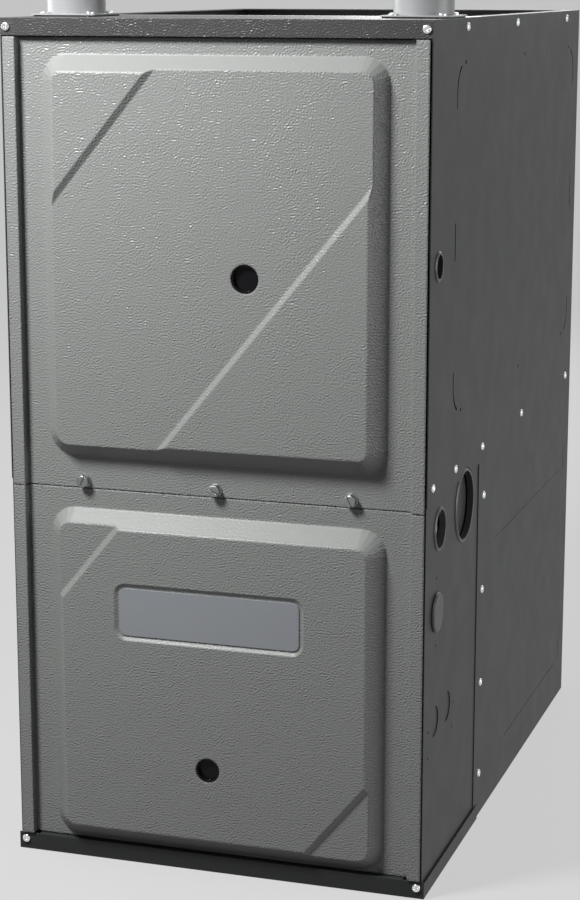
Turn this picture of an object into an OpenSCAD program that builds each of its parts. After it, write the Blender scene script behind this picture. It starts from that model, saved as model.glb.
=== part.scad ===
// Upflow forced air gas furnace, condensing type, made as separate pieces that seat on each other.
// Millimetres. +X is the viewer's right, -Y is the side with the doors, +Z is up.
// The origin is under the middle of the whole furnace, on the floor.

/* [Cabinet] */
// Width over the side sheets
cab_w = 444.5; // [440:0.5:533]
// Depth from the front rails to the back sheet
cab_d = 723.9; // [710:0.1:780]
// Height of the casing
cab_h = 876.3; // [870:0.1:960]
// Thickness of the casing sheet
sheet = 1.2; // [0.9:0.1:1.5]
// Outer radius of the two rear bends
bend_r = 4; // [2:0.5:8]
// Drop of the top panel's front rail
rail_h = 17.4; // [14:0.1:20]
// Height of the base pan's front rail
base_rail_h = 18; // [17:0.1:24]
// Height of the base pan's side wings
wing_h = 16; // [10:1:17]
// Length of the base pan's side wings
wing_d = 232; // [225:1:260]
// Thickness of the base pan's side wings
wing_t = 1.6; // [1:0.1:2]
// Set-back of the flange that the doors close against
stop_set = 12; // [11:0.5:14]
// Width of that flange
stop_w = 21; // [18:0.5:24]
// Width of the flange round the supply air opening
duct_flange = 18; // [14:1:24]
// Depth of the lapped lower part of each side
lap_d = 220; // [205:1:230]
// Height of that lapped part
lap_z = 407; // [403:1:410]
// How far the lapped part is set in
lap_in = 1; // [0.6:0.1:1.1]

/* [Doors] */
// Height of the seam between the doors
seam_z = 401; // [398:0.5:402]
// Gap round each door
door_gap = 1; // [0.6:0.1:1.5]
// Gap between a door and the lapped side sheet
door_side_gap = 0.6; // [0.4:0.1:1.2]
// Thickness of the door sheet
door_t = 1; // [0.8:0.1:1.2]
// Width of a door's raised side strips
strip_w = 13; // [12:0.5:16]
// How far the strips stand in front of the rails
strip_proud = 2; // [1:0.5:3]
// How far the door panel lies behind the rails
panel_set = 6.5; // [5.5:0.5:7]
// Rise of the embossed field
emb_rise = 18; // [15:0.5:18.5]
// Step between the two levels of the field
emb_step = 3.5; // [2:0.5:5]
// Width of the sloped step
emb_step_w = 6; // [4:0.5:8]
// Corner radius at the foot of the field
emb_r = 27; // [24:1:34]
// Margin from the door's side to the field's foot
emb_side = 38; // [36:0.5:50]
// Margin above the upper field
emb_up_top = 15.5; // [8:0.5:24]
// Margin below the upper field
emb_up_bot = 32.5; // [28:0.5:40]
// Margin above the lower field
emb_lo_top = 19; // [12:0.5:26]
// Margin below the lower field
emb_lo_bot = 1.5; // [1:0.5:10]
// Slope of the diagonal steps in degrees
diag_a = 50.4; // [45:0.1:55]
// Distance of the upper field's high step from its centre
diag_up_hi = 166; // [150:1:180]
// Distance of the upper field's low step from its centre
diag_up_lo = 78.5; // [60:0.5:100]
// Distance of the lower field's two steps from its centre
diag_lo = 183; // [170:1:200]
// Radius of the flame sight hole
sight_r = 14.5; // [10:0.5:16]
// Radius of the status light sight hole
status_r = 13; // [10:0.5:16]
// Width of the bare name plate
plate_w = 194; // [150:1:210]
// Height of the bare name plate
plate_h = 50; // [36:1:62]
// Thickness of the pads behind the doors
pad_t = 5; // [3:0.5:5]

/* [Deck and vestibule] */
// Height of the underside of the blower deck
deck_z = 432; // [430:0.5:440]
// Drop of the deck's side flanges
deck_drop = 16; // [13:0.5:17]
// Distance of the vestibule panel behind the front
vest_d = 188; // [184:1:196]
// Thickness of the foil faced liner
liner_t = 6; // [4:0.5:10]

/* [Blower] */
// Radius of the blower wheel
wheel_r = 127; // [120:0.5:130]
// Width of the blower wheel
wheel_w = 203; // [180:1:210]
// Number of blades
blades = 43; // [24:1:52]
// Radial depth of a blade
blade_depth = 19; // [15:0.5:22]
// Thickness of a blade
blade_t = 0.9; // [0.7:0.1:1.4]
// Gap from the wheel to the housing's side plates
wheel_gap = 15; // [12:1:20]
// Least gap from the wheel to the scroll
cutoff_gap = 10; // [8:0.5:14]
// Growth of the scroll from the cutoff to the outlet
scroll_grow = 62; // [50:1:68]
// Radius of the motor
motor_r = 70; // [60:0.5:76]
// Length of the motor
motor_l = 120; // [100:1:130]
// Radius of the motor shaft
shaft_r = 6.35; // [5:0.05:8]
// Running and sliding clearance on a shaft
run_gap = 0.05; // [0.02:0.01:0.1]

/* [Heat exchanger] */
// Distance between neighbouring burners and tubes
burner_pitch = 64; // [58:0.5:66]
// Number of burners and tubes
burner_n = 4; // [2:1:4]
// Outer radius of a heat exchanger tube
tube_r = 21; // [16:0.5:23]
// Wall of a heat exchanger tube
tube_t = 1.4; // [1:0.1:2]
// Room above the highest tubes
tube_room = 38.3; // [36:0.1:44]
// Height of the burners and of the first tube pass
burner_z = 645; // [640:1:650]
// Width of the finned coil
coil_w = 330; // [300:1:360]
// Height of the finned coil
coil_h = 108; // [90:1:112]
// Number of fins
fin_n = 26; // [8:1:40]
// Radius of a coil tube
coil_tube_r = 5; // [4:0.5:7]

/* [Inducer and vent] */
// Outer radius of the vent and intake pipes
pipe_r = 30.15; // [28:0.05:32]
// Wall of those pipes
pipe_t = 3.9; // [3:0.1:5]
// Distance from a vent pipe's axis to the outside of the side
pipe_side = 37.25; // [37.25:0.25:42]
// Distance of the pipes behind the front
pipe_d = 106; // [104:0.5:108]
// Top of the collars above the casing
collar_up = 18.7; // [12:0.1:40]
// Side of the square collar plates
collar_plate = 72; // [68:1:72]
// Radius of the inducer wheel
ind_r = 48; // [40:0.5:50]
// Width of the inducer wheel
ind_w = 30; // [22:0.5:34]
// Number of inducer blades
ind_blades = 12; // [6:1:16]
// Length of the inducer motor
ind_motor_l = 52; // [40:1:54]
// Length of the short intake pipe below the top panel
intake_l = 62; // [40:1:90]

/* [Ports] */
// Radius of the gas pipe bushing's bore
gas_r = 11.9; // [11:0.1:12.5]
// Distance of the gas pipe behind the front
gas_d = 32.2; // [31.5:0.1:33]
// Radius of the drain bushing's bore
drain_r = 19.5; // [15:0.5:21]
// Distance of the drain hole behind the front
drain_d = 54.3; // [50:0.1:60]
// Height of the drain hole
drain_z = 374.4; // [366:0.1:378]
// Radius of the vent port's ring bore
port_r = 36; // [30:0.5:36]
// Distance of the vent port behind the front
port_d = 157.3; // [150:0.1:162]
// Height of the vent port
port_z = 375.5; // [366:0.1:377]
// Width of a bushing's rim
rim_w = 3; // [2.5:0.1:4]
// Radius of the side plug
plug_r = 19; // [14:0.5:20]
// Radius of a half punched knockout
knock_r = 16; // [11:0.5:18]
// Width of the lance slots in the sides
slot_w = 2.8; // [1:0.1:3]

/* [Fasteners] */
// Head radius of a sheet metal screw
head_r = 4.2; // [3.4:0.1:4.6]
// Head height of a sheet metal screw
head_h = 2.4; // [1.8:0.1:2.4]
// Shank radius of a sheet metal screw
shank_r = 2; // [1.5:0.1:2.4]
// Distance across a thumb screw's head
thumb_af = 11.5; // [9:0.5:14]
// Height of a thumb screw's head
thumb_h = 8; // [6:0.5:9]

/* [Hidden] */
$fn = 48;

// Cabinet planes
hw = cab_w / 2;
front_proud = emb_rise - panel_set;
yf = (front_proud - cab_d) / 2;
yb = yf + cab_d;
in_w = hw - sheet;
lap_w = hw - lap_in;
fit_w = lap_w - sheet;
stop_y = yf + stop_set;
stop_in = hw - stop_w;
vest_y = yf + vest_d;
deck_top = deck_z + sheet;
top_in = cab_h - sheet;
eps = 0.02;

// Screw places: distance behind the front and height
top_screw_z = cab_h - rail_h / 2;
deck_screw_z = deck_z - deck_drop / 2;
lap_screw_d = lap_d + 20;
lap_screw_foot = 50.7;
lap_screw_head = 38.8;
lap_screw_rise = (lap_z - lap_screw_foot - lap_screw_head) / 3;
side_screw_at = concat(
    [for (d = [134, cab_d / 2, cab_d - 87]) [d, top_screw_z]],
    [for (d = [18, 110.7, 229.2, 425.5, cab_d - 39]) [d, deck_screw_z]],
    [for (k = [0 : 3]) [lap_screw_d, lap_screw_foot + k * lap_screw_rise]]);
rail_screw_x = hw - 6.2;
base_screw_z = 11.5;
rail_screw_at = [for (s = [-1, 1]) for (z = [top_screw_z, base_screw_z]) [s * rail_screw_x, z]];

// Doors
door_hw = fit_w - door_side_gap;
strip_in = door_hw - strip_w;
up_z0 = seam_z + door_gap / 2;
up_z1 = cab_h - rail_h - door_gap;
lo_z0 = base_rail_h + door_gap;
lo_z1 = seam_z - door_gap / 2;
emb_hw = door_hw - emb_side;
up_emb = [up_z0 + emb_up_bot, up_z1 - emb_up_top];
lo_emb = [lo_z0 + emb_lo_bot, lo_z1 - emb_lo_top];
up_mid = (up_emb[0] + up_emb[1]) / 2;
lo_mid = (lo_emb[0] + lo_emb[1]) / 2;
panel_y = yf + panel_set;
panel_back = panel_y + door_t;
sight_at = [37, up_mid - 12];
status_at = [-4.5, lo_mid - 85.5];
plate_at = [-3.2, lo_mid + 76.2];
plate_r = 7;
plate_sink = 2.2;
plate_gap = 2.2;
plate_lip = 5.5;
thumb_side = 76.45;
thumb_x = [for (s = [-1 : 1]) s * (door_hw - thumb_side)];
thumb_z = up_z0 + 7.5;

// Blower
back_gap = 30;
blow_y = yb - sheet - back_gap - wheel_r - cutoff_gap - scroll_grow;
blow_z = deck_z - 220;
house_x = wheel_w / 2 + wheel_gap;
out_r = wheel_r + cutoff_gap + scroll_grow;
cut_r = wheel_r + cutoff_gap;
cut_a = 75;
blade_in = wheel_r - blade_depth;
inlet_r = blade_in + 2;
ring_r = 8;
hub_x = -12;
motor_x = hub_x + 32;
flange_w = 20;

// Heat exchanger
tube_x = [for (i = [0 : burner_n - 1]) (i - (burner_n - 1) / 2) * burner_pitch];
pass_rise = (cab_h - tube_room - tube_r - burner_z) / 2;
bend_c = pass_rise / 2;
tube_gap = 8;
front_gap = 6;
header_d = 34;
header_gap = 16.8;
header_y = yb - sheet - liner_t - header_gap - header_d;
tube_back = header_y - tube_gap - tube_r - bend_c;
tube_front = vest_y + sheet + tube_r + bend_c + front_gap;
coil_z = deck_top + 14;
coil_y0 = vest_y + sheet;
coil_y1 = header_y - 2;
coil_wall = 1.5;

// Front compartment
box_d = 78;
box_h = 84;
box_w = (burner_n - 1) * burner_pitch + 68;
box_y = vest_y - box_d;
man_r = 9;
man_y = vest_y - 100;
gas_y = yf + gas_d;
valve_x = [in_w - 103, in_w - 33];
pipe_x = hw - pipe_side;
valve_y = [yf + 17, yf + 68];
valve_z = [burner_z - 34, burner_z + 26];
valve_mid = (valve_x[0] + valve_x[1]) / 2;
gas_in_r = 10.4;
col_w = 320;
col_h = coil_h + 18;
col_d = 54;
col_y = vest_y - col_d;
flue_y = yf + pipe_d;
ind_d = 56;
ind_y0 = col_y - ind_d;
ind_grow = 38;
ind_cut = ind_r + 8;
ind_out = ind_cut + ind_grow;
ind_duct = 2 * pipe_r;
ind_x = ind_out - pipe_x - pipe_r;
ind_z = deck_top + 97;
ind_top = ind_z + 72;
spigot_top = ind_top + 26;
coupling_z = ind_top + 4;
collar_top = cab_h + collar_up;
collar_foot = cab_h - 14;
gasket_t = 1.2;
collar_t = 1.5;
collar_bolt = 35 / sqrt(2);

// Control compartment
tray_y = yf + 92;
tray_w = 300;
tray_z = [sheet, 236];
board_y = tray_y - 10;
board = [-95, 60, 52, 178];
trap_x = fit_w - 44;
trap_y = yf + drain_d;

function arc(c, r, a0, a1, n = 6) = [for (i = [0 : n]) let (a = a0 + (a1 - a0) * i / n)
    [c[0] + r * cos(a), c[1] + r * sin(a)]];
function rrect(hx, hz, r, n = 5) = concat(
    arc([hx - r, hz - r], r, 0, 90, n), arc([r - hx, hz - r], r, 90, 180, n),
    arc([r - hx, r - hz], r, 180, 270, n), arc([hx - r, r - hz], r, 270, 360, n));
function spiral(r0, grow, a0, a1, n) = [for (i = [0 : n])
    let (a = a0 + (a1 - a0) * i / n, r = r0 + grow * i / n) [r * cos(a), r * sin(a)]];
// One smooth curve through hand chosen points
function curve(a, b, c, d, t) = 0.5 * (2 * b + (c - a) * t + (2 * a - 5 * b + 4 * c - d) * t * t
    + (3 * b - a - 3 * c + d) * t * t * t);
function route(p, n) = let (m = len(p)) concat(
    [for (i = [0 : m - 2]) for (k = [0 : n - 1])
        curve(p[max(i - 1, 0)], p[i], p[i + 1], p[min(i + 2, m - 1)], k / n)], [p[m - 1]]);
function unit(v) = v / norm(v);

// A box between two corners
module block(a, b) translate(a) cube([b[0] - a[0], b[1] - a[1], b[2] - a[2]]);
// The same thing on the left and on the right
module both() { children(); mirror([1, 0, 0]) children(); }
// Turns a shape drawn along +Z so that it runs along +Y or +X
module along_y() rotate([-90, 0, 0]) children();
module along_x() rotate([0, 90, 0]) children();
// A plan in X and Z, with a thickness towards +Y
module slab(y, t) translate([0, y + t, 0]) rotate([90, 0, 0]) linear_extrude(height = t) children();
// A plan in Y and Z, with a thickness towards +X
module side_slab(x, t) translate([x, 0, 0]) rotate([90, 0, 90]) linear_extrude(height = t) children();
module disc(r, h) cylinder(r = r, h = h);
// The same thing at the four screws of a collar
module at_bolts(z) for (u = [-1, 1]) for (v = [-1, 1])
    translate([u * collar_bolt, v * collar_bolt, z]) children();
module pipe(r, bore, h) difference() { disc(r, h); translate([0, 0, -1]) disc(bore, h + 2); }
// A pan head screw, head towards +Z, with its shank below the seat at z = 0
module pan_screw(shank) rotate_extrude($fn = 24) polygon(concat([[0, -shank], [shank_r - 0.6, -shank],
    [shank_r, 0.6 - shank], [shank_r, 0], [head_r, 0], [head_r, head_h * 0.35]],
    arc([head_r - head_h * 0.65, head_h * 0.35], head_h * 0.65, 15, 90, 3), [[0, head_h]]));
// A round hose swept along a route, with flat ends
module hose(p, r, side = [1, 0, 0], sides = 8) {
    m = len(p);
    dir = [for (i = [0 : m - 1]) unit(p[min(i + 1, m - 1)] - p[max(i - 1, 0)])];
    rings = [for (i = [0 : m - 1]) let (u = unit(cross(dir[i], side)), v = cross(u, dir[i]))
        for (k = [0 : sides - 1]) p[i] + r * (cos(k * 360 / sides) * u + sin(k * 360 / sides) * v)];
    polyhedron(rings, concat([[for (k = [sides - 1 : -1 : 0]) k]],
        [for (i = [0 : m - 2]) for (k = [0 : sides - 1]) let (a = i * sides + k,
            b = i * sides + (k + 1) % sides) each [[a, b, b + sides], [a, b + sides, a + sides]]],
        [[for (k = [0 : sides - 1]) (m - 1) * sides + k]]), convexity = 6);
}

// ---- Cabinet ----
module bent_plan(half, front, back, r) polygon(concat([[-half, front], [half, front]],
    arc([half - r, back - r], r, 0, 90), arc([r - half, back - r], r, 90, 180)));
// What lies between the side sheets, from a distance in Y to the back sheet
module inner_plan(front) bent_plan(in_w, front, yb - sheet, bend_r - sheet);
module wrapper_plan(front) difference() {
    bent_plan(hw, front, yb, bend_r);
    inner_plan(front - 1);
}
// Lance slots that outline the heat exchanger on each side, in distance and height
slot_box = [97.7, cab_d - 36.2, deck_z + 50, cab_h - 43.3];
slot_mid = [(slot_box[0] + slot_box[1]) / 2 + 13.3, (slot_box[2] + slot_box[3]) / 2];
slot_l = 38;
slot_end = 14;
slot_corner = 30;
dot_d = 4.2;
module corner_slot() polygon(concat([[-slot_w / 2, -slot_end]],
    arc([slot_corner, 0], slot_corner + slot_w / 2, 180, 116),
    arc([slot_corner, 0], slot_corner - slot_w / 2, 116, 180), [[slot_w / 2, -slot_end]]));
module slots_plan() {
    for (d = [0, 1]) translate([slot_box[d], 0]) mirror([d, 0]) {
        translate([0, slot_box[3] - slot_corner]) corner_slot();
        translate([0, slot_box[2] + slot_corner]) mirror([0, 1]) corner_slot();
        translate([-slot_w / 2, slot_mid[1] - slot_l / 2]) square([slot_w, slot_l]);
        for (z = [slot_box[2], slot_box[3]]) translate([slot_corner + 3, z]) circle(d = dot_d, $fn = 16);
    }
    for (z = [slot_box[2], slot_box[3]]) translate([slot_mid[0], z]) circle(d = dot_d, $fn = 16);
}
// Scored outline of the side return opening: corner distance and height, and the ends of its two lines
score_box = [cab_d - 35.9, 50, 305];
score_ends = [[cab_d - 350.9, cab_d - 420.9], [77, 329]];
score_corner = 28;
score_l = 24;
score_w = 1.6;
module scores_plan() for (i = [0, 1]) {
    translate([score_ends[0][i], score_box[i + 1]])
        square([score_box[0] - score_corner - score_ends[0][i], score_w]);
    translate([score_box[0], min(score_box[i + 1], score_ends[1][i])]) square([score_w, score_l]);
}
// Round ports of the right side: distance, height, hole radius
gas_z = burner_z - 4;
plug_at = [44.6, 290.3];
port_holes = [[gas_d, gas_z, gas_r + 1.6], [drain_d, drain_z, drain_r + 1.6],
    [port_d, port_z, port_r + 2], [plug_at[0], plug_at[1], plug_r + 0.2]];
// Knockout of the power entry on the left side: distance, height, radius
power_at = [60, 290];
power_r = 11.1;
screw_hole = shank_r + 0.2;
knock_sink = 1;
score_sink = 0.4;
knock_at = [[93.7, 175.3], [43.5, 175.3]];
dot_at = [[44.4, 325.7], [44.9, 254.9], [122.6, 171], [118.8, 145], [18.2, 171.6], [18.8, 144]];
module cabinet_wrapper() color([0.3, 0.3, 0.305]) difference() {
    union() {
        translate([0, 0, lap_z]) linear_extrude(height = cab_h - lap_z) wrapper_plan(yf);
        linear_extrude(height = lap_z + 1) wrapper_plan(yf + lap_d);
        both() {
            block([fit_w, yf, 0], [lap_w, yf + lap_d + 30, deck_z - deck_drop]);
            block([stop_in, stop_y, sheet], [in_w + eps, stop_y + sheet, top_in]);
            block([hw - duct_flange, vest_y + duct_flange, top_in], [in_w + eps, yb - sheet, cab_h]);
        }
        block([-in_w, yb - duct_flange, top_in], [in_w, yb - sheet + eps, cab_h]);
        for (p = knock_at)
            translate([fit_w - knock_sink, yf + p[0], p[1]]) along_x() disc(knock_r + 0.6, sheet);
    }
    block([-hw - 1, yf - 1, cab_h - rail_h], [hw + 1, yf + sheet, cab_h + 1]);
    block([-hw - 1, yf - 1, -1], [hw + 1, yf + sheet, base_rail_h]);
    both() {
        for (p = side_screw_at) translate([fit_w - 1, yf + p[0], p[1]]) along_x() disc(screw_hole, 5);
        translate([0, yf, 0]) side_slab(in_w - 1, 4) slots_plan();
        translate([0, yf, 0]) side_slab(hw - score_sink, 4) scores_plan();
    }
    for (p = rail_screw_at) translate([p[0], yf, p[1]]) along_y() disc(screw_hole, stop_set + 4);
    for (p = port_holes) translate([fit_w - 2, yf + p[0], p[1]]) along_x() disc(p[2], 6);
    for (p = dot_at) translate([fit_w - 2, yf + p[0], p[1]]) along_x() cylinder(d = 3, h = 6, $fn = 16);
    for (p = knock_at) translate([lap_w - knock_sink, yf + p[0], p[1]]) along_x() disc(knock_r, 5);
    translate([lap_w, yf + port_d, port_z]) along_x() disc(port_r + rim_w + 1, 5);
    translate([-fit_w + 2, yf + power_at[0], power_at[1]]) mirror([1, 0, 0]) along_x() disc(power_r, 5);
}
return_half = fit_w - 30;
return_d = [130, cab_d - 34];
return_lip = 14;
return_clear = 20;
module base_pan() color([0.19, 0.19, 0.195]) difference() {
    union() {
        linear_extrude(height = sheet) bent_plan(fit_w, yf + sheet - eps, yb - sheet, bend_r - sheet);
        block([-hw - wing_t, yf, 0], [hw + wing_t, yf + sheet, base_rail_h]);
        block([-stop_in, yf, base_rail_h - sheet], [stop_in, stop_y - 0.3, base_rail_h]);
        both() block([hw, yf, 0], [hw + wing_t, yf + wing_d, wing_h]);
        block([-return_half - sheet, yf + return_d[0] - sheet, 0],
            [return_half + sheet, yf + return_d[1] + sheet, return_lip]);
    }
    block([-return_half, yf + return_d[0], -1], [return_half, yf + return_d[1], return_clear]);
    for (s = [-1, 1]) translate([s * rail_screw_x, yf - 1, base_screw_z]) along_y() disc(screw_hole, 4);
}
module top_panel() color([0.42, 0.42, 0.43]) difference() {
    union() {
        block([-in_w, yf, top_in], [in_w, vest_y, cab_h]);
        block([-hw, yf, cab_h - rail_h], [hw, yf + sheet, cab_h]);
        both() block([in_w - sheet, stop_y + sheet + 3, cab_h - rail_h], [in_w, vest_y, cab_h]);
    }
    for (s = [-1, 1]) translate([s * rail_screw_x, yf - 1, top_screw_z]) along_y() disc(screw_hole, 4);
    for (s = [-1, 1]) translate([s * pipe_x, flue_y, cab_h - 5]) {
        disc(pipe_r + 0.4, 10);
        at_bolts(0) disc(screw_hole, 10);
    }
    both() for (p = side_screw_at) translate([in_w - 3, yf + p[0], p[1]]) along_x() disc(screw_hole, 5);
}
hose_hole_x = [fit_w - 70, fit_w - 34];
hose_hole_y = yf + 74;
module blower_deck() color([0.66, 0.68, 0.7]) difference() {
    union() {
        translate([0, 0, deck_z]) linear_extrude(height = sheet) inner_plan(stop_y + sheet);
        both() block([in_w - sheet, stop_y + sheet, deck_z - deck_drop], [in_w, yb - bend_r, deck_top]);
        block([-fit_w + 0.2, stop_y + sheet, seam_z - 9], [fit_w - 0.2, stop_y + 2 * sheet, deck_top]);
    }
    block([-house_x, blow_y + out_front, deck_z - 5], [house_x, blow_y + out_r, deck_top + 5]);
    for (x = thumb_x) translate([x, stop_y, thumb_z]) along_y() disc(3, 6);
    both() for (p = side_screw_at) translate([in_w - 3, yf + p[0], p[1]]) along_x() disc(screw_hole, 5);
    for (x = hose_hole_x) translate([x, hose_hole_y, deck_z - 2]) disc(11, 6);
}
module vestibule_panel() color([0.7, 0.72, 0.73]) difference() {
    union() {
        block([-in_w, vest_y, deck_top], [in_w, vest_y + sheet, cab_h]);
        both() block([in_w - sheet, vest_y - 12, deck_top], [in_w, vest_y + sheet, cab_h - rail_h - 1]);
        block([-in_w, vest_y, top_in], [in_w, vest_y + duct_flange, cab_h]);
    }
    for (x = tube_x) translate([x, vest_y - 1, burner_z]) along_y() disc(tube_r - tube_t, 5);
    block([-coil_w / 2 + 20, vest_y - 1, coil_z + 14], [coil_w / 2 - 20, vest_y + 3, coil_z + coil_h - 14]);
    translate([0, vest_y - 1, limit_z]) along_y() disc(8, 4);
}
module cabinet_liner() color([0.8, 0.81, 0.82]) difference() {
    translate([0, 0, deck_top]) linear_extrude(height = cab_h - 26 - deck_top) inner_plan(vest_y + 24);
    block([-in_w + liner_t, vest_y - 1, deck_z], [in_w - liner_t, yb - sheet - liner_t, cab_h]);
    both() for (p = side_screw_at) translate([in_w - 10, yf + p[0], p[1]]) along_x() disc(shank_r + 0.6, 12);
}

// ---- Doors ----
// Rings of the embossed field's wall: inset and height, round at the foot and at the rim
foot_round = 2;
rim_round = 3.5;
wall_rings = concat([[0, -6], [0, 0]],
    [for (a = [15, 30, 45]) [foot_round * sin(a), foot_round * (1 - cos(a))]],
    [for (a = [45, 30, 15, 0]) [emb_rise + rim_round * tan(22.5) - rim_round * sin(a),
        emb_rise - rim_round * (1 - cos(a))]]);
// A closed form rising towards -Y through rings, each with an inset from a rounded rectangle and a height
module loft(rings, hx, hz, r) {
    n = 4 * 6;
    pts = [for (w = rings) for (q = rrect(hx - w[0], hz - w[0], r - w[0], 5)) [q[0], -w[1], q[1]]];
    m = len(rings);
    polyhedron(pts, concat([[for (k = [0 : n - 1]) k]],
        [for (i = [0 : m - 2]) for (k = [0 : n - 1]) let (a = i * n + k, b = i * n + (k + 1) % n)
            each [[a, b + n, b], [a, a + n, b + n]]],
        [[for (k = [n - 1 : -1 : 0]) (m - 1) * n + k]]), convexity = 4);
}
module field(hx, hz) loft(wall_rings, hx, hz, emb_r);
// A sloped step across the field, cut from distance d0 to d1 along the diagonal's normal
module step_cut(d0, d1) rotate([0, -90 - diag_a, 0]) linear_extrude(height = 1200, center = true)
    polygon([[d0 - emb_step_w / 2, -emb_rise], [d0 + emb_step_w / 2, emb_step - emb_rise],
        [d1 - emb_step_w / 2, emb_step - emb_rise], [d1 + emb_step_w / 2, -emb_rise],
        [d1 + emb_step_w / 2, -emb_rise - 6], [d0 - emb_step_w / 2, -emb_rise - 6]]);
module upper_field() difference() {
    field(emb_hw, (up_emb[1] - up_emb[0]) / 2);
    step_cut(-diag_up_lo, diag_up_hi);
}
// The name plate's recess: sloped sides down to a flat floor
module plate_recess(grow) loft([[-plate_gap - grow, emb_rise - plate_sink], [-plate_lip - grow, emb_rise],
    [-plate_lip - grow, emb_rise + 6]], plate_w / 2, plate_h / 2, plate_r);
module lower_field(grow = 0) difference() {
    field(emb_hw, (lo_emb[1] - lo_emb[0]) / 2);
    step_cut(diag_lo, diag_lo + 400);
    step_cut(-diag_lo - 400, -diag_lo);
    translate([plate_at[0], 0, plate_at[1] - lo_mid]) plate_recess(grow);
}
module door_pan(z0, z1) {
    block([-strip_in - door_t, panel_y, z0], [strip_in + door_t, panel_back, z1]);
    both() {
        block([strip_in, yf - strip_proud, z0], [strip_in + door_t, panel_back, z1]);
        block([strip_in, yf - strip_proud, z0], [door_hw, yf - strip_proud + door_t, z1]);
        block([door_hw - door_t, yf - strip_proud, z0], [door_hw, stop_y, z1]);
    }
    for (z = [z0, z1 - door_t])
        block([-strip_in - door_t, panel_y, z], [strip_in + door_t, stop_y - 0.5, z + door_t]);
}
module upper_door() color([0.52, 0.53, 0.52]) difference() {
    union() {
        door_pan(up_z0, up_z1);
        translate([0, panel_y, up_mid]) upper_field();
    }
    translate([0, panel_y + door_t, up_mid]) upper_field();
    translate([sight_at[0], yf - 30, sight_at[1]]) along_y() disc(sight_r, 60);
    for (x = thumb_x) translate([x, panel_y - 5, thumb_z]) along_y() disc(2.6, 12);
}
// The tab behind the lower door that meets the door switch's plunger, hung from the flat edge of the sheet
striker_y = stop_y - 0.1;
striker_w = 24;
module striker() translate([switch_x - striker_w / 2, 0, 0]) {
    block([0, striker_y - door_t, switch_z - 8], [striker_w, striker_y, lo_z1 - 3]);
    block([0, panel_back - door_t / 2, lo_emb[1] + 3], [striker_w, striker_y, lo_z1 - 3]);
}
module lower_door() color([0.45, 0.455, 0.45]) {
    difference() {
        union() {
            door_pan(lo_z0, lo_z1);
            translate([0, panel_y, lo_mid]) lower_field();
        }
        translate([0, panel_y + door_t, lo_mid]) lower_field(door_t);
        translate([status_at[0], yf - 30, status_at[1]]) along_y() disc(status_r, 60);
    }
    striker();
}
module door_pad(zz, at, r) difference() {
    slab(panel_back, pad_t) translate([0, (zz[0] + zz[1]) / 2])
        polygon(rrect(stop_in - 8, (zz[1] - zz[0]) / 2, 8, 2));
    translate([at[0], yf, at[1]]) along_y() disc(r, 40);
}
module upper_door_pad() color([0.78, 0.78, 0.76]) door_pad([up_z0 + 22, up_z1 - 6], sight_at, sight_r + 4);
// It ends below the striker
module lower_door_pad() color([0.78, 0.78, 0.76])
    door_pad([lo_z0 + 8, switch_z - 14], status_at, status_r + 4);
// A round window: rim behind the sheet, groove and lens
module sight_glass(r, y) translate([0, y, 0]) along_y() {
    pipe(r + 3, r - 2, 4);
    translate([0, 0, 4]) disc(r + 3, 1.6);
}
module upper_sight_glass() color([0.1, 0.1, 0.1]) translate([sight_at[0], 0, sight_at[1]])
    sight_glass(sight_r, panel_y - emb_rise + emb_step + door_t);
module lower_sight_glass() color([0.1, 0.1, 0.1]) translate([status_at[0], 0, status_at[1]])
    sight_glass(status_r, panel_y - emb_rise + door_t);
module name_plate() color([0.5, 0.51, 0.53]) translate([plate_at[0], 0, plate_at[1]])
    slab(panel_y - emb_rise + plate_sink - 0.8, 0.8) polygon(rrect(plate_w / 2, plate_h / 2, plate_r));
module door_thumb_screws() color([0.75, 0.75, 0.75]) for (x = thumb_x) translate([x, panel_y, thumb_z]) {
    rotate([90, 0, 0]) {
        cylinder(r = thumb_af / 2 / cos(30), h = thumb_h - 1, $fn = 6);
        cylinder(r1 = thumb_af / 2, r2 = thumb_af / 2 - 1, h = thumb_h);
    }
    along_y() disc(2.4, stop_set - panel_set + 6);
}

// ---- Heat exchanger ----
limit_z = burner_z + 96;
module tube_run(x, z, y0, y1, r) translate([x, y0, z]) along_y() disc(r, y1 - y0);
module tube_bend(x, y, z, r, way) translate([x, y, z + bend_c]) rotate([0, 90, 0])
    rotate([0, 0, way > 0 ? 0 : 180]) rotate_extrude(angle = 180) translate([bend_c, 0]) circle(r = r);
top_pass_z = burner_z + 2 * pass_rise;
// Three passes and two bends, made longer by over at both mouths
module tube_body(x, r, over) {
    tube_run(x, burner_z, vest_y + sheet - over, tube_back, r);
    tube_bend(x, tube_back, burner_z, r, 1);
    tube_run(x, burner_z + pass_rise, tube_front, tube_back, r);
    tube_bend(x, tube_front, burner_z + pass_rise, r, -1);
    tube_run(x, top_pass_z, tube_front, header_y + over, r);
}
module heat_exchanger_tubes() color([0.62, 0.62, 0.6]) for (x = tube_x) difference() {
    tube_body(x, tube_r, 0);
    tube_body(x, tube_r - tube_t, 1);
}
header_w = coil_w / 2 + 4;
header_t = 1.5;
module hot_header_box() color([0.66, 0.67, 0.68]) difference() {
    block([-header_w, header_y, coil_z - 2], [header_w, header_y + header_d, top_pass_z + tube_r + 6]);
    block([-header_w + header_t, header_y + header_t, coil_z - 2 + header_t],
        [header_w - header_t, header_y + header_d - header_t, top_pass_z + tube_r + 6 - header_t]);
    for (x = tube_x) tube_run(x, top_pass_z, header_y - 1, header_y + 3, tube_r - tube_t);
    block([-coil_w / 2 + 12, header_y - 1, coil_z + 10],
        [coil_w / 2 - 12, header_y + 3, coil_z + coil_h - 10]);
}
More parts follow.
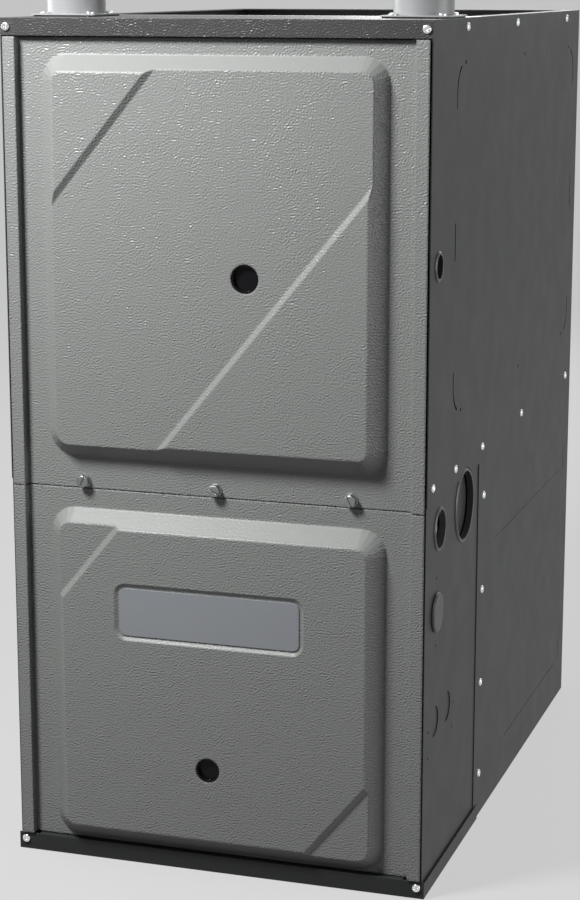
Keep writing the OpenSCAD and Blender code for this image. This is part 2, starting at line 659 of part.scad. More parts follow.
coil_rows = [for (r = [0 : 1]) for (i = [0 : 5])
    [(i - 2.5) * 50 + r * 16 - 8, coil_z + coil_h * (r + 0.5) / 2]];
module secondary_coil() color([0.72, 0.73, 0.74]) {
    block([-coil_w / 2, coil_y0, coil_z], [coil_w / 2, coil_y0 + coil_wall, coil_z + coil_h]);
    block([-coil_w / 2, coil_y1, coil_z], [coil_w / 2, coil_y1 + coil_wall + 0.5, coil_z + coil_h]);
    for (z = [coil_z, coil_z + coil_h - coil_wall]) both()
        block([coil_w / 2 - 14, coil_y0, z], [coil_w / 2, coil_y1, z + coil_wall]);
    fin_gap = (coil_y1 - coil_y0) / (fin_n + 1);
    for (i = [1 : fin_n]) block([-coil_w / 2 + 3, coil_y0 + i * fin_gap, coil_z + 0.6],
        [coil_w / 2 - 3, coil_y0 + i * fin_gap + 0.8, coil_z + coil_h - 0.6]);
    for (q = coil_rows) tube_run(q[0], q[1], coil_y0, coil_y1 + 1, coil_tube_r);
    for (y = [coil_y0 + 40, coil_y1 - 40]) both()
        block([coil_w / 2 - 30, y, deck_top], [coil_w / 2 - 6, y + 20, coil_z + 0.7]);
}
drain_from = [col_w / 2 - 74, col_w / 2 - 14];
drain_tap_z = coil_z + 5;
tap_x = col_w / 2 - 20;
module collector_plan(less, r) translate([0, coil_z + coil_h / 2])
    polygon(rrect(col_w / 2 - less, col_h / 2 - less, r, 3));
module collector_box() color([0.12, 0.12, 0.125]) difference() {
    union() {
        slab(col_y + 4, col_d - 4) collector_plan(0, 12);
        slab(col_y, 4) collector_plan(8, 8);
        for (x = [-col_w / 2 + 40 : 40 : col_w / 2 - 30]) if (abs(x - ind_x) > ind_out)
            block([x - 1.5, col_y - 3, coil_z + 4], [x + 1.5, col_y + 2, coil_z + coil_h - 4]);
        for (x = drain_from) translate([x, col_y - 14, drain_tap_z]) along_y() disc(6.5, 16);
        both() translate([tap_x, col_y + 16, coil_z + coil_h / 2 + col_h / 2 - 2]) disc(3.6, 12);
    }
    slab(col_y + 8, col_d) collector_plan(4, 8);
    translate([ind_x, col_y - 1, ind_z]) along_y() disc(ind_r - 14, 20);
}

// ---- Burners and gas train ----
module burner_box() color([0.7, 0.71, 0.72]) difference() {
    union() {
        block([-box_w / 2, box_y, burner_z - box_h / 2], [box_w / 2, vest_y, burner_z + box_h / 2]);
        block([-box_w / 2 - 12, vest_y - sheet, burner_z - box_h / 2], [box_w / 2 + 12, vest_y,
            burner_z + box_h / 2]);
    }
    for (y = [[box_y - 1, burner_plate], [burner_plate + sheet, vest_y - sheet]])
        block([-box_w / 2 + sheet, y[0], burner_z - box_h / 2 + sheet],
            [box_w / 2 - sheet, y[1], burner_z + box_h / 2 - sheet]);
    for (x = tube_x) tube_run(x, burner_z, burner_plate - 1, vest_y + 1, 18.3);
    for (x = rollout_x) translate([x, vest_y - 50, burner_z + box_h / 2 - 3]) disc(8, 5);
    translate([tube_x[0], flame_y, burner_z + box_h / 2 - 3]) disc(5, 5);
    translate([tube_x[burner_n - 1], flame_y, burner_z + box_h / 2 - 3]) disc(3.4, 5);
}
// An inshot burner: flared mouth, throat, mixing tube and flame head
burner_l = 46;
burner_y = vest_y - 67;
burner_plate = burner_y + burner_l - 9;
module burners() color([0.66, 0.66, 0.64]) for (x = tube_x) translate([x, burner_y, burner_z]) along_y()
    rotate_extrude() polygon([[15, 0], [16.4, 0], [15, 5], [11.4, 10], [10.4, 14], [10.4, 20], [13, 27],
        [18, 31], [18, burner_l], [16.6, burner_l], [16.6, 32], [12, 28.6], [9, 20.6], [9, 13.6], [10, 9],
        [14, 4]]);
module gas_manifold() color([0.55, 0.55, 0.56]) difference() {
    union() {
        translate([-box_w / 2 - 2, man_y, burner_z]) along_x() disc(man_r, valve_mid + box_w / 2 + 2);
        translate([-box_w / 2 - 6, man_y, burner_z]) along_x() disc(man_r + 2.5, 12);
        translate([valve_mid, valve_y[1], burner_z]) along_y() disc(man_r, man_y - valve_y[1]);
        translate([valve_mid, man_y, burner_z]) sphere(r = man_r + 2);
        for (x = tube_x) translate([x, man_y, burner_z]) along_y() disc(6, man_r + 2);
        both() block([box_w / 2 - 9, man_y, burner_z + 3], [box_w / 2, box_y, burner_z + 6]);
    }
    for (x = tube_x) translate([x, man_y, burner_z]) along_y() disc(3.2, man_r + 4);
}
module gas_orifices() color([0.8, 0.62, 0.28]) for (x = tube_x)
    translate([x, man_y + man_r + 2, burner_z]) along_y() {
        cylinder(r = 6.6, h = 4, $fn = 6);
        cylinder(r = 4, h = 17);
    }
module gas_valve() color([0.62, 0.63, 0.66]) difference() {
    union() {
        block([valve_x[0], valve_y[0] + 6, valve_z[0] + 4], [valve_x[1], valve_y[1], valve_z[1] - 3]);
        block([valve_x[0] + 5, valve_y[0], valve_z[0] + 10],
            [valve_x[1] - 5, valve_y[1] - 6, valve_z[1] - 12]);
        translate([valve_mid, (valve_y[0] + valve_y[1]) / 2 + 4, valve_z[0] - 8]) disc(17, 20);
        translate([valve_mid - 20, (valve_y[0] + valve_y[1]) / 2, valve_z[1] - 8]) disc(9, 8);
        translate([valve_x[1] - 5, gas_y, gas_z]) along_x() disc(14.5, 13);
        translate([valve_mid, valve_y[1] - 2, burner_z]) along_y() disc(13, 2);
    }
    translate([valve_x[1] - 12, gas_y, gas_z]) along_x() disc(gas_in_r, 30);
    translate([valve_mid, (valve_y[0] + valve_y[1]) / 2 + 4, valve_z[0] - 9]) cylinder(r = 5, h = 4, $fn = 6);
    translate([knob_x, knob_y, valve_z[1] - 7]) disc(3 + run_gap, 8);
}
knob_x = valve_mid + 14;
knob_y = (valve_y[0] + valve_y[1]) / 2 + 6;
module gas_valve_knob() color([0.1, 0.1, 0.1]) translate([knob_x, knob_y, valve_z[1]]) {
    translate([0, 0, -6.5]) disc(3, 7);
    translate([0, 0, -2.7]) disc(12, 5.7);
    difference() {
        translate([0, 0, 3]) disc(9.5, 9);
        for (s = [-1, 1]) translate([s * 9 - 5, -12, 5]) cube([10, 24, 10]);
    }
}
igniter_top = burner_z + box_h / 2;
flame_y = vest_y - 12;
module igniter() color([0.9, 0.88, 0.82]) translate([tube_x[0], flame_y, igniter_top]) {
    block([-14, -7, 0], [14, 7, 2]);
    translate([0, 0, 2]) disc(6.5, 18);
    translate([0, 0, -20]) disc(4.6, 20.1);
    translate([-3, -1, -46]) cube([6, 2, 26.1]);
}
module flame_sensor() color([0.85, 0.84, 0.8]) translate([tube_x[burner_n - 1], flame_y, igniter_top]) {
    block([-8, -6, 0], [8, 6, 1.2]);
    translate([0, 0, 1.2]) disc(5, 20);
    translate([0, 0, -22]) disc(3, 22.1);
    translate([0, 0, -44]) disc(1.3, 23);
}
rollout_x = [-burner_pitch / 2, burner_pitch / 2];
rollout_h = 13;
module rollout_switches() color([0.14, 0.14, 0.14]) for (x = rollout_x)
    translate([x, vest_y - 50, igniter_top]) difference() {
        union() {
            block([-15, -9, 0], [15, 9, 1.2]);
            translate([0, 0, 1.2]) disc(9.5, rollout_h - 1.2);
            for (s = [-1, 1]) block([s * 5 - 0.5, 5, 5], [s * 5 + 0.5, 16, 11]);
        }
        translate([0, 0, rollout_h - 5]) disc(3 + run_gap, 8);
    }
module reset_button(x) translate([x, vest_y - 50, igniter_top + rollout_h]) {
    translate([0, 0, -2]) disc(3, 6);
    translate([0, 0, 3]) cylinder(r1 = 3, r2 = 2.2, h = 1.6);
}
module rollout_button_left() color([0.75, 0.1, 0.08]) reset_button(rollout_x[0]);
module rollout_button_right() color([0.75, 0.1, 0.08]) reset_button(rollout_x[1]);
module limit_switch() color([0.2, 0.2, 0.2]) translate([0, vest_y, limit_z]) rotate([90, 0, 0]) {
    block([-20, -9, 0], [20, 9, 1.2]);
    translate([0, 0, 1.2]) disc(10, 11);
    translate([0, 0, -24]) disc(6, 24.1);
    for (s = [-1, 1]) block([s * 5 - 3, -0.5, 12], [s * 5 + 3, 0.5, 19]);
}

// ---- Inducer and vent ----
module inducer_plan() polygon(concat(
    spiral(ind_out, -ind_grow, 180, 455, 24),
    [[ind_duct - ind_out, ind_top - ind_z], [-ind_out, ind_top - ind_z]]));
module inducer_housing() color([0.13, 0.13, 0.135]) difference() {
    union() {
        translate([ind_x, 0, ind_z]) slab(ind_y0, ind_d) inducer_plan();
        translate([ind_x, ind_y0 + ind_d - 6, ind_z]) along_y() disc(ind_cut + 14, 6);
        translate([-pipe_x, flue_y, ind_top - 0.02]) disc(pipe_r, 26);
        translate([-pipe_x, flue_y, ind_top - 8]) disc(pipe_r - 2.2, 10);
    }
    translate([ind_x, 0, ind_z]) slab(ind_y0 + 3, ind_d - 7) inducer_hollow();
    translate([-pipe_x, flue_y, ind_top - 12]) disc(pipe_r - pipe_t - 1, 50);
    translate([ind_x, ind_y0 + ind_d - 8, ind_z]) along_y() disc(ind_r - 14, 20);
    translate([ind_x, ind_y0 - 1, ind_z]) along_y() disc(5, 8);
}
module inducer_hollow() polygon(concat(
    spiral(ind_out - 3, -ind_grow, 180, 455, 24),
    [[ind_duct - ind_out - 3, ind_top - ind_z - 4], [3 - ind_out, ind_top - ind_z - 4]]));
motor_front = ind_y0 - ind_motor_l - 4;
module inducer_motor() color([0.35, 0.35, 0.36]) translate([ind_x, motor_front, ind_z]) along_y()
    difference() {
    union() {
        disc(34, ind_motor_l - 12);
        translate([0, 0, ind_motor_l - 14]) disc(26, 14);
        for (a = [30, 150, 270]) rotate([0, 0, a]) translate([30, 0, ind_motor_l - 8]) {
            translate([-8, -5, 0]) cube([14, 10, 3]);
            disc(5, 12);
        }
    }
    translate([0, 0, 6]) disc(4 + run_gap, 90);
}
module inducer_wheel() color([0.25, 0.25, 0.26]) translate([ind_x, ind_y0 + 12, ind_z]) along_y() {
    disc(ind_r, 1.6);
    disc(11, ind_w - 6);
    translate([0, 0, -26]) disc(4, 27);
    for (i = [0 : ind_blades - 1]) rotate([0, 0, i * 360 / ind_blades]) linear_extrude(height = ind_w)
        polygon(concat(arc([30, 26], 26, 250, 300, 4), arc([30, 26], 24.6, 300, 250, 4)));
}
module flue_coupling() color([0.1, 0.1, 0.1]) translate([-pipe_x, flue_y, coupling_z]) {
    pipe(pipe_r + 3, pipe_r + 0.1, 44);
    for (z = [6, 30]) translate([0, 0, z]) pipe(pipe_r + 4, pipe_r + 2, 8);
}
// Flue pipe on the left, combustion air pipe on the right, both hung from their collars
module vent_pipes() color([0.86, 0.86, 0.84]) for (p = [[-1, collar_foot - spigot_top], [1, intake_l]])
    translate([p[0] * pipe_x, flue_y, collar_foot - p[1]]) pipe(pipe_r, pipe_r - pipe_t, p[1]);
module collar(x) translate([x, flue_y, 0]) difference() {
    union() {
        translate([0, 0, collar_foot]) disc(pipe_r, collar_top - collar_foot);
        translate([0, 0, cab_h + gasket_t]) linear_extrude(height = collar_t)
            polygon(rrect(collar_plate / 2, collar_plate / 2, 4, 3));
    }
    translate([0, 0, collar_foot - 1]) disc(pipe_r - pipe_t, collar_top - collar_foot + 2);
    at_bolts(cab_h) disc(screw_hole, 10);
}
module pipe_collars() color([0.85, 0.86, 0.86]) both() collar(pipe_x);
gasket_w = collar_plate / 2 - 1.5;
module collar_gaskets() color([0.1, 0.1, 0.1]) for (s = [-1, 1]) translate([s * pipe_x, flue_y, cab_h])
    difference() {
        linear_extrude(height = gasket_t) polygon(rrect(gasket_w, gasket_w, 4, 3));
        translate([0, 0, -1]) disc(pipe_r + 0.3, 5);
        at_bolts(-1) disc(screw_hole, 10);
    }
module collar_screws() color([0.78, 0.78, 0.78]) for (s = [-1, 1]) translate([s * pipe_x, flue_y, 0])
    at_bolts(cab_h + gasket_t + collar_t) pan_screw(9);
// The two switches stand beside the burner box, with their ports to the front
press_x = box_w / 2 + 45;
press_z = burner_z + 50;
press_r = 30;
module pressure_switches() color([0.16, 0.16, 0.17]) both() translate([press_x, vest_y, press_z])
    rotate([90, 0, 0]) {
        block([-20, -press_r, 0], [20, press_r - 6, 1.4]);
        translate([0, 0, 1.3]) disc(8, 6);
        translate([0, 0, 6]) disc(press_r, 5);
        translate([0, 0, 11]) disc(press_r - 5, 11);
        translate([0, 0, 22]) disc(9, 5);
        translate([0, 0, 26]) disc(3, 9);
        for (s = [-1, 1]) block([s * 14 - 3, -6, 22], [s * 14 + 3, -5, 30]);
    }
hose_r = 4;
// From each switch's port, down past the burner box, to the tap on the collector box
module pressure_hoses() color([0.06, 0.06, 0.06]) both() {
    lane = box_w / 2 + 17;
    port_y = vest_y - 35;
    tap_y = col_y + 16;
    tap_z = coil_z + coil_h / 2 + col_h / 2 + 10;
    hose(route([[press_x, port_y, press_z], [press_x, port_y - 4, press_z], [press_x, port_y - 8, press_z],
        [press_x - 3, port_y - 12, press_z - 8], [lane + 14, port_y - 10, press_z - 28],
        [lane, tap_y, press_z - 56], [lane - 1, tap_y, burner_z - 46], [tap_x, tap_y, tap_z + 16],
        [tap_x, tap_y, tap_z + 8], [tap_x, tap_y, tap_z]], 3), hose_r);
}

// ---- Blower ----
out_front = cut_r * cos(cut_a) - 60;
module scroll_plan(r, top) polygon(concat(spiral(r, -scroll_grow, 0, -360 + cut_a, 38),
    [[out_front + out_r - r, deck_z - blow_z], [out_front + out_r - r, top], [r, top]]));
module blower_housing() color([0.7, 0.72, 0.73]) translate([0, blow_y, blow_z]) {
    difference() {
        side_slab(-house_x, 2 * house_x) scroll_plan(out_r, deck_z - blow_z);
        side_slab(-house_x + sheet, 2 * (house_x - sheet)) scroll_plan(out_r - sheet, deck_z - blow_z + 5);
        translate([-house_x - 1, 0, 0]) along_x() disc(inlet_r + ring_r - 0.4, 2 * house_x + 2);
    }
    // Inlet rings, rolled in towards the wheel
    both() translate([house_x, 0, 0]) rotate([0, -90, 0]) rotate_extrude(convexity = 4) polygon(concat(
        arc([inlet_r + ring_r, ring_r], ring_r, 270, 180, 5),
        arc([inlet_r + ring_r, ring_r], ring_r - sheet, 180, 270, 5)));
    both() block([house_x - eps, out_front, deck_z - blow_z - sheet],
        [house_x + flange_w, out_r, deck_z - blow_z]);
}
module blower_rails() color([0.64, 0.66, 0.68]) both() {
    x = house_x + flange_w;
    block([x + 0.4, blow_y - 220, deck_z - 2 * sheet - 0.3], [x + 0.4 + sheet, blow_y + out_r + 10, deck_z]);
    block([x - 10, blow_y - 220, deck_z - 2 * sheet - 0.1], [x + 0.4 + sheet, blow_y + out_r + 10,
        deck_z - sheet - 0.1]);
}
blade_c = [wheel_r - blade_depth * 0.55, blade_depth * 0.63];
blade_curve = blade_depth * 0.66;
disc_r = norm(blade_c + blade_curve * [cos(225), sin(225)]) - eps;
end_t = 4;
end_w = 8;
module blade_plan() polygon(concat(arc(blade_c, blade_curve, 225, 310, 4),
    arc(blade_c, blade_curve - blade_t, 310, 225, 4)));
// Two end rings and, where the blades' inner edges meet it, the disc that carries the hub
module blower_wheel() color([0.6, 0.61, 0.62]) translate([0, blow_y, blow_z]) along_x() {
    for (x = [-wheel_w / 2, wheel_w / 2 - end_t]) translate([0, 0, x]) pipe(wheel_r, wheel_r - end_w, end_t);
    translate([0, 0, hub_x - 1]) difference() {
        union() {
            disc(disc_r, 1.6);
            translate([0, 0, -14]) disc(18, 28);
        }
        translate([0, 0, -20]) disc(shaft_r + run_gap, 50);
    }
}
module blower_blades() color([0.6, 0.61, 0.62]) translate([end_t - wheel_w / 2, blow_y, blow_z]) along_x()
    for (i = [0 : blades - 1]) rotate([0, 0, i * 360 / blades]) linear_extrude(height = wheel_w - 2 * end_t)
        blade_plan();
module blower_motor() color([0.25, 0.25, 0.26]) translate([motor_x, blow_y, blow_z]) along_x() {
    disc(motor_r - 4, motor_l);
    for (z = [0, motor_l - 26]) translate([0, 0, z]) disc(motor_r, 26);
    translate([0, 0, -6]) disc(18, 8);
    translate([0, 0, hub_x - motor_x - 22]) disc(shaft_r, motor_x - hub_x + 24);
    for (a = [0 : 30 : 330]) rotate([0, 0, a]) translate([motor_r - 6, -2, 20]) cube([5, 4, motor_l - 40]);
}
module motor_mount() color([0.68, 0.7, 0.71]) translate([house_x, blow_y, blow_z]) along_x() {
    difference() {
        translate([0, 0, -2]) pipe(motor_r + 3, motor_r, 14);
        translate([motor_r - 1, -4, -3]) cube([8, 8, 20]);
    }
    for (a = [60, 180, 300]) rotate([0, 0, a]) {
        translate([motor_r + 0.5, -9, 0]) cube([inlet_r + ring_r + 14 - motor_r, 18, 2.4]);
        translate([inlet_r + ring_r + 7, 0, 2]) cylinder(r = 5, h = 3, $fn = 6);
    }
}

// ---- Controls ----
module control_tray() color([0.7, 0.71, 0.72]) {
    block([-tray_w / 2, tray_y, tray_z[0]], [tray_w / 2, tray_y + sheet, tray_z[1]]);
    both() block([tray_w / 2 - sheet, tray_y, tray_z[0]], [tray_w / 2, tray_y + 16, tray_z[1]]);
    block([-tray_w / 2, tray_y, tray_z[0]], [tray_w / 2, tray_y + 16, tray_z[0] + sheet]);
    block([-tray_w / 2, tray_y, tray_z[1] - sheet], [tray_w / 2, tray_y + 16, tray_z[1]]);
    for (x = [board[0] + 8, board[1] - 8]) for (z = [board[2] + 8, board[3] - 8])
        translate([x, board_y + 1.6, z]) along_y() disc(4, 8.4);
}
module control_board() color([0.1, 0.36, 0.2]) {
    block([board[0], board_y, board[2]], [board[1], board_y + 1.6, board[3]]);
    for (x = [board[0] + 22 : 14 : board[1] - 60]) block([x, board_y - 9, board[3] - 18],
        [x + 9, board_y, board[3] - 9]);
    block([board[0] + 10, board_y - 12, board[2] + 10], [board[0] + 22, board_y, board[2] + 62]);
    block([board[1] - 46, board_y - 8, board[2] + 8], [board[1] - 10, board_y, board[2] + 20]);
    translate([status_at[0], board_y - 6, status_at[1]]) along_y() disc(3, 6);
    translate([status_at[0] - 34, board_y - 14, status_at[1] - 22]) along_y() disc(8, 14);
}
module board_relays() color([0.1, 0.1, 0.11]) for (z = [28, 54, 80])
    block([board[1] - 52, board_y - 18, board[2] + z], [board[1] - 24, board_y, board[2] + z + 20]);
trans_x = [84, 142];
module transformer() color([0.3, 0.3, 0.31]) {
    block([trans_x[0], tray_y - 3, 58], [trans_x[1], tray_y, 128]);
    block([trans_x[0] + 6, tray_y - 44, 66], [trans_x[1] - 6, tray_y - 3, 120]);
    block([trans_x[0] + 2, tray_y - 36, 76], [trans_x[1] - 2, tray_y - 10, 110]);
}
jb = [[-fit_w, yf + 34, 246], [-fit_w + 66, yf + 96, 334]];
module junction_box() color([0.68, 0.7, 0.71]) difference() {
    union() {
        block(jb[0], jb[1]);
        translate([jb[1][0], yf + 65, 290]) along_x() cylinder(r = 4, h = 2.4, $fn = 6);
    }
    block(jb[0] + sheet * [1, 1, 1], jb[1] - sheet * [1, 1, 1]);
    translate([jb[0][0] - 2, yf + power_at[0], power_at[1]]) along_x() disc(power_r, 6);
}
switch_x = trap_x - 58;
switch_z = seam_z - 26;
switch_y = stop_y + 14;
module door_switch() color([0.85, 0.85, 0.83]) difference() {
    union() {
        block([switch_x - 9, switch_y, switch_z - 8], [switch_x + 9, switch_y + 26, switch_z + 8]);
        block([switch_x - 16, switch_y + 3, switch_z - 8], [switch_x + 16, switch_y + 5, deck_z]);
        for (s = [-1, 1]) block([switch_x + s * 4 - 0.5, switch_y + 26, switch_z - 3],
            [switch_x + s * 4 + 0.5, switch_y + 34, switch_z + 3]);
    }
    translate([switch_x, switch_y - 1, switch_z]) along_y() disc(4 + run_gap, 16);
}
plunger_gap = 0.2;
module door_switch_plunger() color([0.8, 0.15, 0.1])
    translate([switch_x, striker_y + plunger_gap, switch_z]) along_y() disc(4, switch_y - striker_y + 9);
// A bushing's bore, from behind the sheet to its rim
bush_in = 5;
bush_out = 1.3;
trap_z = [300, drain_z + 12];
spout_end = lap_w - bush_in + 0.1;
module condensate_trap() color([0.9, 0.9, 0.88]) difference() {
    union() {
        block([trap_x - 34, trap_y - 18, trap_z[0]], [trap_x + 34, trap_y + 18, trap_z[1] - 2]);
        block([trap_x - 37, trap_y - 21, trap_z[1] - 6], [trap_x + 37, trap_y + 21, trap_z[1]]);
        for (x = hose_hole_x) translate([x, trap_y, trap_z[1] - 1]) disc(6.5, 9);
        translate([trap_x + 30, trap_y, drain_z]) along_x() disc(9, spout_end - trap_x - 30);
        for (x = [-22, 0, 22]) block([trap_x + x - 1, trap_y - 20, trap_z[0] + 6],
            [trap_x + x + 1, trap_y + 20, trap_z[1] - 2]);
        translate([trap_x, trap_y, trap_z[0] - 14]) disc(12, 15);
        for (z = [trap_z[0] + 12, trap_z[0] + 34])
            block([trap_x + 33, trap_y - 16, z], [fit_w, trap_y - 12, z + 16]);
    }
    for (x = [trap_x - 31, trap_x + 2])
        block([x, trap_y - 15, trap_z[0] + 3], [x + 29, trap_y + 15, trap_z[1] - 8]);
    for (x = hose_hole_x) translate([x, trap_y, trap_z[1] - 20]) disc(4.5, 40);
    translate([trap_x + 25, trap_y, drain_z]) along_x() disc(6.5, 40);
}
module drain_hoses() color([0.12, 0.12, 0.12]) for (i = [0, 1]) {
    x = hose_hole_x[i];
    a = drain_from[i];
    bend_z = deck_top + 10;
    hose(route([[a, col_y - 14, drain_tap_z], [a, col_y - 19, drain_tap_z], [a, col_y - 24, drain_tap_z],
        [(a + x) / 2, yf + 96, drain_tap_z], [x - 3, hose_hole_y + 7, bend_z],
        [x, hose_hole_y - 1, deck_z - 4],
        [x, trap_y + 7, trap_z[1] + 28], [x, trap_y, trap_z[1] + 18], [x, trap_y, trap_z[1] + 13],
        [x, trap_y, trap_z[1] + 8]], 3), 6.5, [0.2, 1, 0.35]);
}

// ---- Ports and fasteners ----
module bushing(r) rotate_extrude() polygon([[r, -bush_in], [r + 1.5, -bush_in], [r + 1.5, 0],
    [r + rim_w + 0.4, 0], [r + rim_w + 0.4, 0.6], [r + rim_w - 1, bush_out + 0.4],
    [r + 0.4, bush_out + 0.4], [r, bush_out]]);
module port_bushings() color([0.3, 0.3, 0.31]) {
    translate([hw, yf + gas_d, gas_z]) along_x() bushing(gas_r);
    translate([lap_w, yf + drain_d, drain_z]) along_x() bushing(drain_r);
    translate([lap_w, yf + port_d, port_z]) along_x() bushing(port_r);
}
module vent_port_cover() color([0.5, 0.5, 0.5]) translate([lap_w - 8, yf + port_d, port_z]) along_x() {
    disc(port_r + 5, 1.2);
    for (a = [45 : 90 : 315]) rotate([0, 0, a]) translate([port_r + 2.6, -5, 0]) cube([2.4, 10, 8 - sheet]);
}
plug_top = 3.3;
plug_plan = [[plug_r - 1.5, -5], [plug_r, -5], [plug_r, 0], [plug_r + 1.6, 0], [plug_r + 1.6, plug_top - 1.7],
    [plug_r + 0.6, plug_top - 0.4], [plug_r - 1, plug_top], [0, plug_top], [0, plug_top - 1.5],
    [plug_r - 1.5, plug_top - 1.5]];
module side_plug() color([0.2, 0.2, 0.2]) translate([lap_w, yf + plug_at[0], plug_at[1]]) along_x()
    rotate_extrude() polygon(plug_plan);
module front_screws() color([0.78, 0.78, 0.78]) for (p = rail_screw_at) translate([p[0], yf, p[1]])
    rotate([90, 0, 0]) pan_screw(stop_set + 3);
module side_screws() color([0.78, 0.78, 0.78]) both() for (p = side_screw_at)
    translate([hw, yf + p[0], p[1]]) along_x() pan_screw(8);

cabinet_wrapper();
base_pan();
top_panel();
blower_deck();
vestibule_panel();
cabinet_liner();
upper_door();
upper_door_pad();
upper_sight_glass();
door_thumb_screws();
lower_door();
lower_door_pad();
lower_sight_glass();
name_plate();
heat_exchanger_tubes();
hot_header_box();
secondary_coil();
collector_box();
burner_box();
burners();
gas_manifold();
gas_orifices();
gas_valve();
gas_valve_knob();
igniter();
flame_sensor();
rollout_switches();
rollout_button_left();
rollout_button_right();
limit_switch();
inducer_housing();
inducer_motor();
inducer_wheel();
flue_coupling();
vent_pipes();
pipe_collars();
collar_gaskets();
collar_screws();
pressure_switches();
pressure_hoses();
blower_housing();
blower_rails();
blower_wheel();
blower_blades();
blower_motor();
motor_mount();
control_tray();
control_board();
board_relays();
transformer();
junction_box();
door_switch();
door_switch_plunger();
condensate_trap();
drain_hoses();
port_bushings();
vent_port_cover();
side_plug();
front_screws();
side_screws();
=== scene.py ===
import math
import random

import bmesh
import bpy
from bpy.props import FloatProperty, FloatVectorProperty, IntProperty, PointerProperty
from mathutils import Matrix, Vector


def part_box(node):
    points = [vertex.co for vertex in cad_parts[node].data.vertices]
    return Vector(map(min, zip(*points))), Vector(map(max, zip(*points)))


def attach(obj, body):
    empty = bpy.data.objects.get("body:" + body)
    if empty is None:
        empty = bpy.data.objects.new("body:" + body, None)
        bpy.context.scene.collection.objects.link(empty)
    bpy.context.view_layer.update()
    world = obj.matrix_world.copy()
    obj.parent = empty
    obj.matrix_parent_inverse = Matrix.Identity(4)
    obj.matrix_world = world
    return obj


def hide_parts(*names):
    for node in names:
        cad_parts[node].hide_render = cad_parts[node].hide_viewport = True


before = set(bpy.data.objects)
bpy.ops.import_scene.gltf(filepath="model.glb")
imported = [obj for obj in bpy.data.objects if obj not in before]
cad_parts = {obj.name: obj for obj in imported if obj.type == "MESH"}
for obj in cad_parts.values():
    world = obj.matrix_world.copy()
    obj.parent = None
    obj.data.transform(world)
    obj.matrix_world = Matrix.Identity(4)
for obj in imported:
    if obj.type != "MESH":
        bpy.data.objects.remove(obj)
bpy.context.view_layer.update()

bl_info = {
    "name": "Gas furnace finishes",
    "version": (1, 0, 0),
    "blender": (4, 5, 0),
    "location": "View3D > Sidebar > Furnace",
    "description": "Paint, metals, screws, wiring and studio for a forced air gas furnace",
    "category": "Object",
}

MM = 0.001
CASING = "cabinet"
SMOOTH_ANGLE = math.radians(32)


# ---- Shader expressions ----

class Socket:
    """One output of a shader node, for use in Python expressions."""

    def __init__(self, finish, link):
        self.finish = finish
        self.link = link

    def __add__(self, other):
        return self.finish.maths("ADD", self, other)

    def __sub__(self, other):
        return self.finish.maths("SUBTRACT", self, other)

    def __rsub__(self, other):
        return self.finish.maths("SUBTRACT", other, self)

    def __mul__(self, other):
        return self.finish.maths("MULTIPLY", self, other)

    def __gt__(self, other):
        return self.finish.maths("GREATER_THAN", self, other)

    def __lt__(self, other):
        return self.finish.maths("LESS_THAN", self, other)

    def __abs__(self):
        return self.finish.maths("ABSOLUTE", self, 0.0)

    __radd__ = __add__
    __rmul__ = __mul__

    def ramp(self, low, high):
        """0 below low and 1 above high, with a smooth run between them."""
        return self.finish.node(
            "ShaderNodeMapRange", {"interpolation_type": "SMOOTHSTEP"},
            {"Value": self, "From Min": low, "From Max": high})


